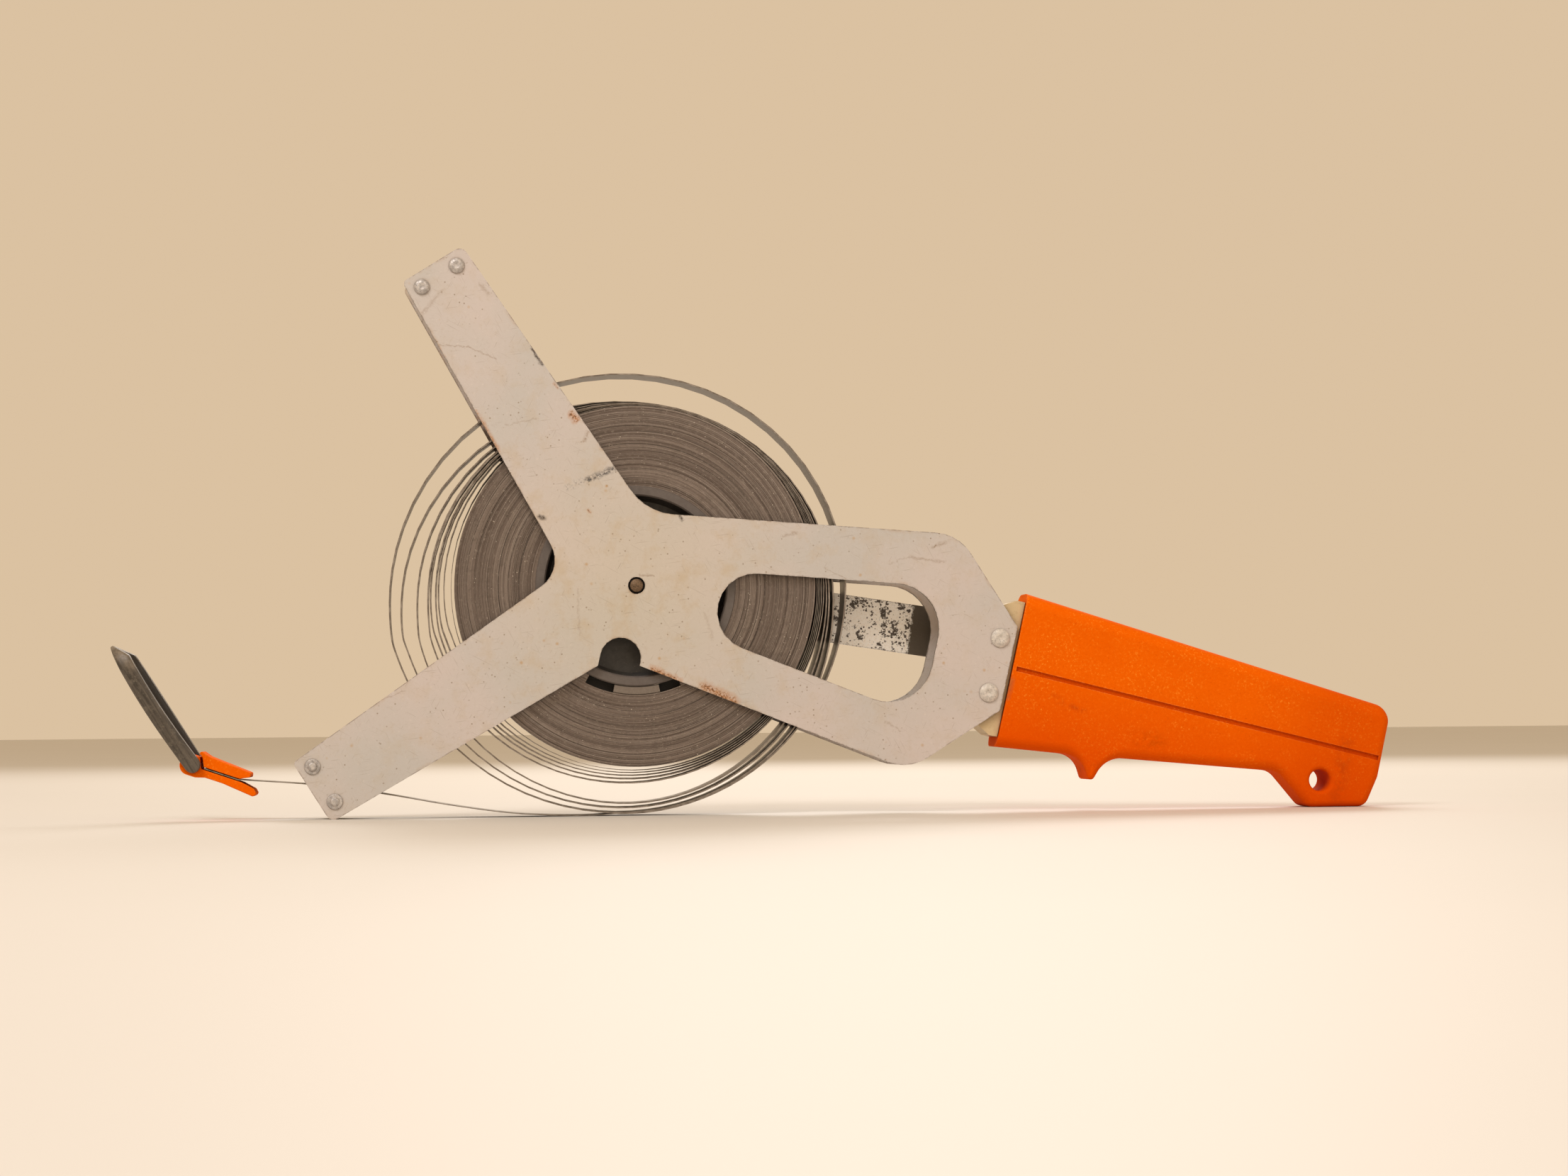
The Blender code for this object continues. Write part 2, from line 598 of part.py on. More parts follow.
def smooth(points, steps):
    """Catmull-Rom curve through points, with steps to each span."""
    padded = [points[0] * 2 - points[1], *points, points[-1] * 2 - points[-2]]
    curve = []
    for p0, p1, p2, p3 in zip(padded, padded[1:], padded[2:], padded[3:]):
        for k in range(steps):
            t = k / steps
            curve.append(0.5 * (2 * p1 + (p2 - p0) * t + (2 * p0 - 5 * p1 + 4 * p2 - p3) * t * t
                                + (3 * p1 - p0 - 3 * p2 + p3) * t ** 3))
    return curve + [points[-1]]


def loose_turns(frame, mat):
    """One spiral from the outermost turn's lowest point in to the pack, and its tail."""
    knots = []
    for turn, radii in enumerate(LOOSE_RADII):
        for angle, radius in zip(LOOSE_ANGLES, radii):
            knots.append(Vector((angle + 360.0 * turn, radius)))
    knots.append(Vector((LOOSE_ANGLES[0] + 360.0 * len(LOOSE_RADII), LOOSE_IN_R)))
    path = []
    for angle, radius in smooth(knots, LOOSE_STEPS // len(LOOSE_ANGLES)):
        way = math.radians(angle)
        path.append(Vector((radius * math.cos(way), radius * math.sin(way))))
    tail = smooth([Vector(point) for point in LOOSE_TAIL] + path[:1], 3)
    tail[-1] = tail[-1] + (tail[-2] - tail[-1]).normalized() * GAP
    y_low = (FRAME_WIDTH - TAPE_WIDE) / 2
    for name, run in (("tape_loose_turns", path), ("tape_tail", tail)):
        add_solid(name, ribbon(run, y_low, y_low + TAPE_WIDE, TAPE_THICK), frame, mat)


def tape_lead(clamp, mat):
    """Tape in the clamp, its bend in the clamp's mouth, and its run back past the rollers."""
    bend = math.radians(CLAMP_DROP - PULL_RISE)
    way = Vector((math.cos(bend), math.sin(bend)))
    path = [Vector((LEAD_START_S, 0.0)), Vector((CLAMP_RIVET_S, 0.0)),
            Vector((LEAD_MOUTH_S, 0.0))]
    steps = 4
    for k in range(1, steps + 1):
        angle = bend * k / steps
        path.append(path[-1] + Vector((math.cos(angle), math.sin(angle))) * 0.8)
    path.append(path[-1] + way * LEAD_BACK)
    y_low = (FRAME_WIDTH - TAPE_WIDE) / 2
    lead = add_solid("tape_lead", ribbon(path, y_low, y_low + TAPE_WIDE, TAPE_THICK), clamp, mat)
    hole = clamp_rivet_solid("lead_rivet_hole", rivet_profile(GAP, 3.0), clamp, mat)
    combine(lead, hole, "DIFFERENCE")


def rivet_profile(slack, beyond):
    """Countersunk rivet, its heads level with the jaws; slack widens it, beyond lengthens it."""
    foot, top = CLAMP_RIVET_FOOT, CLAMP_RIVET_TOP
    head_r = CLAMP_RIVET_HEAD_R + slack
    shank = CLAMP_RIVET_R + slack
    sink = CLAMP_RIVET_SINK + slack
    return [(0.0, foot - beyond), (head_r, foot - beyond), (head_r, foot), (shank, foot + sink),
            (shank, top - sink), (head_r, top), (head_r, top + beyond), (0.0, top + beyond)]


def clamp_rivet_solid(name, profile, clamp, mat):
    made = add_solid(name, turned(profile, 12, closed=False), clamp, mat)
    made.rotation_euler = (math.radians(90.0), 0.0, 0.0)
    made.location = Vector((CLAMP_RIVET_S, FRAME_WIDTH / 2, 0.0)) * MM
    return made


def clamp_jaws(clamp, mat):
    """Two jaws in the clamp's own directions: s along the tape, t across its face."""
    y_low = FRAME_WIDTH / 2 - CLAMP_HALF
    y_high = FRAME_WIDTH / 2 + CLAMP_HALF
    lower = rounded([(-4.2, -3.9, 3.4), (2.4, -3.9, 2.0), (5.6, -2.9, 2.0), (12.0, -2.9, 4.0),
                     (23.4, -4.0, 1.0), (24.2, -2.6, 0.8), (22.8, -1.3, 0.8),
                     (18.2, -JAW_GAP, 2.0), (3.4, -JAW_GAP, 0.4), (1.7, 3.2, 0.5),
                     (-4.2, 3.2, 3.0)], 30.0)
    upper = rounded([(4.0, JAW_GAP, 0.4), (17.0, JAW_GAP, 2.0), (20.3, 2.1, 0.5),
                     (20.0, 3.6, 0.8), (9.4, 4.2, 3.0), (4.6, 4.5, 3.0), (1.4, 5.5, 0.7),
                     (1.1, 4.3, 0.4), (2.5, 3.5, 0.3)], 30.0)
    for name, outline in (("clamp_lower_jaw", lower), ("clamp_upper_jaw", upper)):
        jaw = add_solid(name, prism(outline, y_low, y_high), clamp, mat, False)
        hole = clamp_rivet_solid(f"{name}_rivet_hole", rivet_profile(GAP, 3.0), clamp, mat)
        combine(jaw, hole, "DIFFERENCE")
        if outline is lower:
            eye = prism(circle(0, 0, RING_PIN_R + GAP, 12), y_low - 1.0, y_high + 1.0)
            combine(jaw, add_solid("jaw_pin_hole", eye, clamp, mat), "DIFFERENCE")


def clamp_rivet(clamp, mat):
    clamp_rivet_solid("clamp_rivet", rivet_profile(0.0, 0.1), clamp, mat)


def ring_pin(clamp, mat):
    reach = RING_OUT_HALF - 0.2
    middle = FRAME_WIDTH / 2
    profile = [(0.0, middle - reach), (RING_PIN_R, middle - reach),
               (RING_PIN_R, middle + reach), (0.0, middle + reach)]
    add_solid("ring_pin", turned(profile, 12, closed=False), clamp, mat)


def end_ring(pivot, mat):
    """U-shaped finger loop: local X runs up the loop, local Z is its thickness."""
    def thickness(d):
        if d < 0.0:
            half = math.sqrt(max(0.25, 1.0 - (d / RING_BARREL_R) ** 2))
            return -RING_BARREL_R * half, (RING_BARREL_R - 0.4) * half
        share = d / RING_LENGTH
        swell = math.sin(math.pi * share)
        bevel = max(0.0, d - RING_BEVEL_FROM) * RING_BEVEL_SLOPE
        inner = RING_BARREL_R - 0.5 * swell - bevel
        outer = RING_BARREL_R - 0.4 + 0.3 * swell - 0.4 * share ** 4
        return -inner, outer

    def lean(point):
        swell = math.sin(math.pi * max(0.0, point.x) / RING_LENGTH)
        return -RING_LEAN * swell * point.y / RING_OUT_HALF
    middle = FRAME_WIDTH / 2
    centre_half = RING_OUT_HALF - RING_BAND / 2
    bow = RING_LENGTH - RING_OUT_HALF
    sides = (-2.9, -2.2, -1.0, 0.0, 8.0, 16.0, 24.0, RING_STRAIGHT)
    path = [Vector((d, -centre_half)) for d in sides]
    steps = 12
    path += [Vector((bow + centre_half * math.sin(math.pi * k / steps),
                     -centre_half * math.cos(math.pi * k / steps))) for k in range(steps + 1)]
    path += [Vector((p.x, -p.y)) for p in reversed(path[:len(sides)])]
    stations = []
    for i, here in enumerate(path):
        along = (path[min(i + 1, len(path) - 1)] - path[max(i - 1, 0)]).normalized()
        side = Vector((-along.y, along.x)) * RING_BAND / 2
        station = []
        for point, level in ((here - side, 0), (here + side, 0), (here + side, 1), (here - side, 1)):
            z = thickness(point.x)[level] + lean(point)
            station.append(Vector((point.x, middle + point.y, z)) * MM)
        stations.append(station)
    ring = add_solid("end_ring", band(stations), pivot, mat)
    eye = turned([(0.0, -3.0), (RING_PIN_R + GAP, -3.0), (RING_PIN_R + GAP, 22.0), (0.0, 22.0)],
                 12, closed=False)
    combine(ring, add_solid("ring_pin_hole", eye, pivot, mat), "DIFFERENCE")


def main():
    clear_scene()
    paint = material("plate_paint", (0.62, 0.58, 0.52), 0.45, 0.0)
    cream = material("cream_plastic", (0.80, 0.68, 0.38), 0.5, 0.0)
    orange = material("orange_plastic", (0.85, 0.15, 0.01), 0.5, 0.0)
    rivet_metal = material("rivet_aluminium", (0.75, 0.74, 0.72), 0.4, 1.0)
    steel = material("dark_steel", (0.20, 0.15, 0.11), 0.5, 0.9)
    tape = material("tape_steel", (0.24, 0.20, 0.17), 0.4, 0.9)
    clip_metal = material("clip_steel", (0.50, 0.43, 0.35), 0.5, 0.8)
    hub_plastic = material("hub_plastic", (0.10, 0.10, 0.10), 0.5, 0.0)
    nickel = material("crank_nickel", (0.80, 0.77, 0.72), 0.1, 1.0)
    knob_plastic = material("knob_plastic", (0.03, 0.03, 0.03), 0.4, 0.0)
    ring_plastic = material("ring_plastic", (0.10, 0.09, 0.07), 0.45, 0.0)
    nylon = material("roller_nylon", (0.55, 0.52, 0.46), 0.5, 0.0)

    axle_place = (AXLE_X, AXLE_Y, AXLE_Z)
    frame = empty("frame_axes", axle_place, turn=HANDLE_DROP)
    reel = empty("reel_axes", axle_place, turn=CRANK_DROP)
    level = empty("level_axes", axle_place)
    pivot_place = (RING_PIVOT_X, 0.0, RING_PIVOT_Z)
    clamp = empty("clamp_axes", pivot_place, level, CLAMP_DROP)
    ring = empty("ring_axes", pivot_place, level, -RING_RISE)

    frame_plate("front_frame_plate", 0.0, frame, paint)
    frame_plate("rear_frame_plate", FRAME_WIDTH - PLATE_THICK, frame, paint)
    tips, grips = rivet_places()
    for key, place in tips.items():
        rivet(f"tip_rivet_{key}", place, TIP_RIVET_HEAD_R, frame, rivet_metal)
        guide_roller(f"guide_roller_{key}", place, frame, nylon)
    for key, place in grips.items():
        rivet(f"grip_rivet_{key}", place, GRIP_RIVET_HEAD_R, frame, rivet_metal)
    handle_core(frame, cream)
    handle_grip(frame, orange)

    reel_hub(reel, hub_plastic)
    wound_tape(reel, tape, clip_metal)
    axle(reel, steel)
    for name, y_low in (("hub_washer_front", HUB_SIDE - GAP - WASHER_THICK),
                        ("hub_washer_rear", FRAME_WIDTH - HUB_SIDE + GAP)):
        washer(name, WASHER_R, y_low, y_low + WASHER_THICK, reel, nylon)
    washer("crank_washer", CRANK_WASHER_R, FRAME_WIDTH + GAP, CRANK_Y - GAP, reel, steel)
    crank_arm(reel, nickel)
    crank_nut(reel, rivet_metal)
    fold_pin(reel, rivet_metal)
    knob_and_spindle(reel, rivet_metal, knob_plastic)

    loose_turns(level, tape)
    tape_lead(clamp, tape)
    clamp_jaws(clamp, orange)
    clamp_rivet(clamp, rivet_metal)
    ring_pin(clamp, steel)
    end_ring(ring, ring_plastic)


main()
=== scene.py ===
"""Detailed visual model of an open-frame long steel tape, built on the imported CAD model.

Lengths are millimetres in the tool's own frame until MM turns them into metres.
Materials are worked out in each piece's own coordinates, so they move with it.
"""
import random
from math import ceil, copysign, cos, degrees, pi, radians, sin, sqrt, tan

import bmesh
import bpy
from mathutils import Matrix, Vector


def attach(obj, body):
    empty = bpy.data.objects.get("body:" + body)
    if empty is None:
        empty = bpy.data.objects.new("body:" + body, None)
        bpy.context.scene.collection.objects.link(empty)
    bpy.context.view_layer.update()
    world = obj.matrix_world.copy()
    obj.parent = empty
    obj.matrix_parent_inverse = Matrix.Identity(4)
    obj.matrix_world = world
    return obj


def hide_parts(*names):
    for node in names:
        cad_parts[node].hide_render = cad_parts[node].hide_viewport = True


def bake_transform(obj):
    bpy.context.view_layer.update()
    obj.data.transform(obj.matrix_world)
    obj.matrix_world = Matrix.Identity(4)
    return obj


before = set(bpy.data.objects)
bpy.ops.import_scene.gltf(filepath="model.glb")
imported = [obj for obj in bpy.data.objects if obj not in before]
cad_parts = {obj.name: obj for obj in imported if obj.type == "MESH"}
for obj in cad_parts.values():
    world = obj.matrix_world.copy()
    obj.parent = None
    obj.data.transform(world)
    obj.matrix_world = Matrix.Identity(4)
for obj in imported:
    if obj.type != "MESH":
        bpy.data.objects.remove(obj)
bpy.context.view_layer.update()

MM = 0.001
AXLE = (-44.7, -30.3, 81.0)     # where the axle crosses the front plate's outer face
HANDLE_DROP = 12.8              # degrees from level down to the handle's centre line
CRANK_DROP = 8.6                # to the crank's
CLAMP_DROP = 19.0               # and to the clamp's
RING_RISE = 122.4               # degrees from +X up to the ring's long direction
FRAME_WIDTH = 19.0
MIDDLE = FRAME_WIDTH / 2
TAPE_WIDE = 13.0
TAPE_LOW = (FRAME_WIDTH - TAPE_WIDE) / 2
TIP_REACH = 129.0               # from the axle along each arm to its tip rivets
TIP_ASIDE = 7.2                 # from the arm's centre line to each of them
ARM_ANGLE = 135.0               # between the handle's centre line and each arm's
TIP_HEAD_R = 2.75
GRIP_RIVET_U = 131.1            # from the axle along the handle
GRIP_RIVET_V = 10.0             # and to each side of its centre line
GRIP_HEAD_R = 3.4
RIM_R = 35.5                    # hub rim's outer face
FIRST_TURNS_R = RIM_R + 0.02    # where the tape, its clip and its slots begin
PACK_IN_R = 38.6
PACK_OUT_R = 63.9
CRANK_REACH = 110.0             # from the axle to the pin that the knob folds on
FOLD_PIN_Y = 30.6
RING_LENGTH = 50.0
RING_OUT_HALF = 10.7
RING_BAND = 3.4
RING_BARREL_R = 3.0             # round its pin
RING_BEVEL_FROM = 43.5          # the tip thins from here on its inner side
RING_BEVEL_SLOPE = 0.62
RING_LEAN = 0.7                 # how far its front and rear sides part at their middle


def axes(place, turn, base=Matrix.Identity(4)):
    """Axis system at place in base, turned about Y from +Z towards +X."""
    return base @ Matrix.Translation(Vector(place) * MM) @ Matrix.Rotation(
        radians(turn), 4, "Y")


LEVEL = axes(AXLE, 0.0)
HANDLE = axes(AXLE, HANDLE_DROP)
REEL = axes(AXLE, CRANK_DROP)
RING_PIVOT = (-154.3, 0.0, -61.5)
CLAMP = axes(RING_PIVOT, CLAMP_DROP, LEVEL)
RING = axes(RING_PIVOT, -RING_RISE, LEVEL)
Y_TO_Z = Matrix.Rotation(radians(90.0), 4, "X")


# ---------------------------------------------------------------- camera, light and floor

LENS = 65.91
SENSOR = 36.0
CAMERA_FROM_AXLE = (-65.2, -1010.5, -50.3)
CAMERA_TURN = (92.77, 0.52, -6.61)      # degrees about X, Y and Z
LIGHT_TARGET = (0.0, 0.0, 0.08)         # this and the lights' places and sizes are in metres
LIGHTS = (                              # name, place, size, watts, colour
    ("key", (-0.75, -1.0, 1.25), (0.8, 0.6), 14.0, (1.0, 0.97, 0.96)),
    ("front_fill", (0.9, -1.6, 0.8), (1.2, 1.0), 4.6, (1.0, 0.97, 0.96)),
    ("back", (0.25, 1.1, 0.85), (0.8, 0.5), 8.5, (1.0, 0.97, 0.95)))
SKY_COLOUR = (0.77, 0.585, 0.39, 1.0)
SKY_STRENGTH = 0.92
FLOOR_HALF = 14.0                       # metres


def make_camera():
    """A long lens low in front of the reel, looking a little up and to the right."""
    data = bpy.data.cameras.new("camera")
    data.lens = LENS
    data.sensor_width = SENSOR
    data.clip_end = 20.0
    camera = bpy.data.objects.new("camera", data)
    bpy.context.collection.objects.link(camera)
    camera.location = (Vector(AXLE) + Vector(CAMERA_FROM_AXLE)) * MM
    camera.rotation_euler = [radians(turn) for turn in CAMERA_TURN]
    bpy.context.scene.camera = camera


def make_lights():
    """Three soft area lights in a warm, even surround."""
    for name, place, size, watts, colour in LIGHTS:
        data = bpy.data.lights.new(name, "AREA")
        data.shape = "RECTANGLE"
        data.size, data.size_y = size
        data.energy = watts
        data.color = colour
        light = bpy.data.objects.new(name, data)
        bpy.context.collection.objects.link(light)
        light.location = place
        ray = Vector(LIGHT_TARGET) - Vector(place)
        light.rotation_euler = ray.to_track_quat("-Z", "Y").to_euler()
    world = bpy.data.worlds.new("studio")
    world.use_nodes = True
    sky = world.node_tree.nodes["Background"]
    sky.inputs["Color"].default_value = SKY_COLOUR
    sky.inputs["Strength"].default_value = SKY_STRENGTH
    bpy.context.scene.world = world
    bpy.context.scene.view_settings.view_transform = "Standard"


def make_floor():
    mesh = bpy.data.meshes.new("floor")
    half = FLOOR_HALF
    mesh.from_pydata([(-half, -half, 0), (half, -half, 0), (half, half, 0), (-half, half, 0)],
                     [], [(0, 1, 2, 3)])
    floor = bpy.data.objects.new("floor", mesh)
    bpy.context.collection.objects.link(floor)
    look = Look("floor_card", (0.67, 0.64, 0.60), 0.6)
    tone = look.noise(3.0, 3.0, at=look.place)
    look.set("Base Color", look.mix(tone, (0.655, 0.63, 0.59), (0.685, 0.655, 0.615)))
    mesh.materials.append(look.mat)


# ---------------------------------------------------------------- material building

class Look:
    """A Principled material, with short calls that add nodes to it.

    place is in metres and flat in millimetres from the axle; tone is the colour made so far.
    Noise and cells have a scale per millimetre, as they use flat unless told where.
    """

    def __init__(self, name, colour, roughness, metallic=0.0, specular=0.5):
        self.mat = bpy.data.materials.new(name)
        self.mat.use_nodes = True
        self.tree = self.mat.node_tree
        self.shader = self.tree.nodes["Principled BSDF"]
        self.set("Base Color", (*colour, 1.0))
        self.set("Roughness", roughness)
        self.set("Metallic", metallic)
        self.set("Specular IOR Level", specular)
        self.place = self.node("ShaderNodeTexCoord").outputs["Object"]
        moved = self.vector("SUBTRACT", self.place, Vector(AXLE) * MM)
        self.flat = self.vector("MULTIPLY", moved, (1 / MM, 1 / MM, 1 / MM))
        self.tone = colour

    def node(self, kind, inputs=None, **settings):
        made = self.tree.nodes.new(kind)
        for key, value in settings.items():
            setattr(made, key, value)
        for key, value in (inputs or {}).items():
            self.put(made.inputs[key], value)
        return made

    def put(self, socket, value):
        if isinstance(value, bpy.types.NodeSocket):
            self.tree.links.new(value, socket)
        elif socket.type == "RGBA" and len(value) == 3:
            socket.default_value = (*value, 1.0)
        else:
            socket.default_value = value

    def set(self, socket, value):
        self.put(self.shader.inputs[socket], value)

    def math(self, operation, a, b=0.0):
        return self.node("ShaderNodeMath", {0: a, 1: b}, operation=operation).outputs[0]

    def times(self, a, b):
        return self.math("MULTIPLY", a, b)

    def vector(self, operation, a, b, out="Vector"):
        made = self.node("ShaderNodeVectorMath", {0: a, 1: b}, operation=operation)
        return made.outputs[out]

    def join(self, x, y, z):
        return self.node("ShaderNodeCombineXYZ", {0: x, 1: y, 2: z}).outputs[0]

    def split(self, vector):
        return self.node("ShaderNodeSeparateXYZ", {0: vector}).outputs

    def measure(self, angle):
        """Distance from the axle in a direction of the XZ plane, in degrees from +X to +Z."""
        way = radians(angle)
        return self.vector("DOT_PRODUCT", self.flat, (cos(way), 0.0, sin(way)), "Value")

    def level(self):
        return self.vector("MULTIPLY", self.flat, (1.0, 0.0, 1.0))

    def radius(self):
        """Distance from the axle's line."""
        return self.vector("LENGTH", self.level(), (0, 0, 0), "Value")

    def facing(self):
        """How far the surface turns towards +Y, from -1 to 1."""
        return self.split(self.node("ShaderNodeNewGeometry").outputs["True Normal"])[1]

    def noise(self, scale, detail=2.0, rough=0.5, at=None):
        made = self.node("ShaderNodeTexNoise", {"Vector": at or self.flat, "Scale": scale,
                         "Detail": detail, "Roughness": rough})
        return made.outputs["Fac"]

    def cells(self, scale, at=None):
        made = self.node("ShaderNodeTexVoronoi", {"Vector": at or self.flat, "Scale": scale})
        return made.outputs["Distance"]

    def span(self, value, low, high, to_low=0.0, to_high=1.0):
        """value from low..high mapped to to_low..to_high, and clamped."""
        made = self.node("ShaderNodeMapRange", {"Value": value, "From Min": low,
                         "From Max": high, "To Min": to_low, "To Max": to_high})
        return made.outputs["Result"]

    def patch(self, grain, low, high, to_low=0.0, to_high=1.0, at=None):
        """Noise with a grain (scale, detail, roughness), mapped as span maps it."""
        return self.span(self.noise(*grain, at=at), low, high, to_low, to_high)

    def streaks(self, angle, long, wide, rarity):
        """Scratches that run at an angle in the XZ plane; long and wide are in millimetres."""
        where = self.join(self.times(self.measure(angle), 1.0 / long),
                          self.times(self.measure(angle + 90.0), 1.0 / wide), angle)
        return self.patch((1.0, 1.5), rarity, rarity + 0.05, at=where)

    def mix(self, share, a, b):
        made = self.node("ShaderNodeMix", data_type="RGBA")
        self.put(made.inputs[0], share)
        self.put(made.inputs[6], a)
        self.put(made.inputs[7], b)
        return made.outputs[2]

    def paint(self, colour, *shares):
        """Lay a colour over the tone, as far as the shares multiplied together say."""
        share = shares[0]
        for other in shares[1:]:
            share = self.times(share, other)
        self.tone = self.mix(share, self.tone, colour)

    def bump(self, height, strength, distance):
        """distance is in millimetres."""
        made = self.node("ShaderNodeBump", {"Height": height, "Strength": strength,
                         "Distance": distance * MM})
        self.set("Normal", made.outputs["Normal"])

    def done(self, gloss, rough, height=None, strength=0.0, distance=0.0):
        """Connect the tone, the roughness that gloss gives between two values, and the bump."""
        self.set("Base Color", self.tone)
        self.set("Roughness", self.span(gloss, 0.3, 0.7, *rough))
        if height is not None:
            self.bump(height, strength, distance)
        return self.mat

    def edges(self, radius):
        """1 at sharp outer and inner edges, 0 a radius in millimetres away from them."""
        soft = self.node("ShaderNodeBevel", {"Radius": radius * MM}, samples=6)
        true = self.node("ShaderNodeNewGeometry").outputs["True Normal"]
        same = self.vector("DOT_PRODUCT", soft.outputs[0], true, "Value")
        return self.span(same, 0.999, 0.80)

    def hollow_shade(self, distance):
        """1 in corners and grooves, 0 on open surfaces; it is used to paint shade into them."""
        made = self.node("ShaderNodeAmbientOcclusion", {"Distance": distance * MM}, samples=8)
        return self.span(made.outputs["AO"], 0.9, 0.3)

    def near_line(self, start, end, reach, at=None):
        """1 on a segment given from the axle in the XZ plane, falling to 0 at reach."""
        start = Vector((start[0], 0.0, start[1]))
        run = Vector((end[0], 0.0, end[1])) - start
        level = self.vector("MULTIPLY", at or self.flat, (1.0, 0.0, 1.0))
        offset = self.vector("SUBTRACT", level, start)
        share = self.vector("DOT_PRODUCT", offset, run / run.length_squared, "Value")
        share = self.math("MAXIMUM", self.math("MINIMUM", share, 1.0), 0.0)
        foot = self.vector("MULTIPLY", self.join(share, share, share), run)
        return self.span(self.vector("DISTANCE", offset, foot, "Value"), reach, 0.0)


SCRATCHES = (                   # start, end, half width and depth of tone, from the axle
    ((-74.4, 96.1), (-67.6, 104.3), 0.55, 0.55), ((-68.8, 84.8), (-58.0, 84.1), 0.22, 0.8),
    ((-58.0, 84.1), (-48.9, 79.9), 0.22, 0.8), ((-46.0, 56.6), (-35.2, 58.9), 0.2, 0.6),
    ((-17.0, 54.3), (-18.2, 50.9), 0.4, 0.9), ((1.1, 3.8), (6.3, 3.5), 0.3, 0.9),
    ((52.0, 17.4), (57.0, 18.6), 0.35, 0.8), ((106.0, 13.5), (110.5, 15.0), 0.45, 0.8),
    ((97.5, 9.8), (110.0, 8.0), 0.4, 0.7), ((67.0, 6.0), (74.5, 2.2), 0.2, 0.7),
    ((-54.5, 106.5), (-51.5, 103.0), 0.5, 0.7), ((90.0, 7.2), (97.0, 10.0), 0.2, 0.5),
    ((-20.8, -1.0), (-20.2, -17.0), 0.3, 0.45), ((-96.5, -31.6), (-88.0, -36.5), 0.22, 0.7),
    ((-93.0, -41.0), (-81.0, -36.5), 0.2, 0.7), ((24.0, -10.0), (27.0, -19.0), 0.4, 0.4),
    ((72.0, -16.0), (78.0, -20.5), 0.25, 0.5), ((88.0, -48.5), (93.5, -52.0), 0.3, 0.6))
STREAKS = (                     # angle, length, width and rarity of faint scuffs everywhere
    (8.0, 9.0, 0.30, 0.69), (62.0, 6.0, 0.28, 0.70), (118.0, 11.0, 0.28, 0.70),
    (-28.0, 15.0, 0.26, 0.70))
RUST = (                        # start, end, reach and how much of it is rusty, from the axle
    ((-56.3, 60.2), (-49.4, 48.2), 1.3, 1.0), ((-76.5, 94.6), (-67.6, 80.6), 0.9, 0.7),
    ((-22.4, 60.4), (-21.0, 58.8), 1.3, 0.9), ((-17.2, 26.6), (-16.2, 25.8), 0.5, 0.6),
    ((5.6, -29.6), (14.6, -34.0), 1.3, 0.9), ((24.0, -36.0), (34.0, -41.0), 1.8, 0.9),
    ((-28.5, 71.5), (-27.4, 69.8), 0.5, 0.5))
CHIPS = (                       # start, end and reach of dark bare chips, from the axle
    ((-34.0, 24.6), (-32.6, 23.8), 0.8), ((15.5, 24.6), (16.2, 23.4), 0.8),
    ((-63.8, 72.0), (-62.6, 70.2), 0.8), ((-36.5, 84.4), (-33.0, 78.0), 0.6),
    ((-91.0, -32.0), (-88.6, -30.2), 0.6), ((-83.6, -27.8), (-81.8, -26.6), 0.6))
SMUDGES = (                     # on the grip: start, end, reach, threshold, share and colour
    ((133.6, -34.0), (132.0, -40.0), 2.2, 0.40, 0.6, (0.24, 0.12, 0.05)),
    ((149.0, -40.5), (152.5, -42.5), 2.2, 0.42, 0.3, (0.34, 0.03, 0.005)),
    ((156.0, -44.0), (160.0, -45.5), 1.8, 0.42, 0.4, (0.34, 0.03, 0.005)),
    ((181.0, -56.0), (187.0, -57.0), 5.0, 0.42, 0.3, (0.34, 0.045, 0.0)),
    ((257.0, -58.0), (253.0, -78.0), 4.0, 0.42, 0.3, (0.30, 0.035, 0.005)),
    ((150.0, -64.5), (168.0, -66.0), 3.0, 0.50, 0.5, (0.34, 0.05, 0.005)))


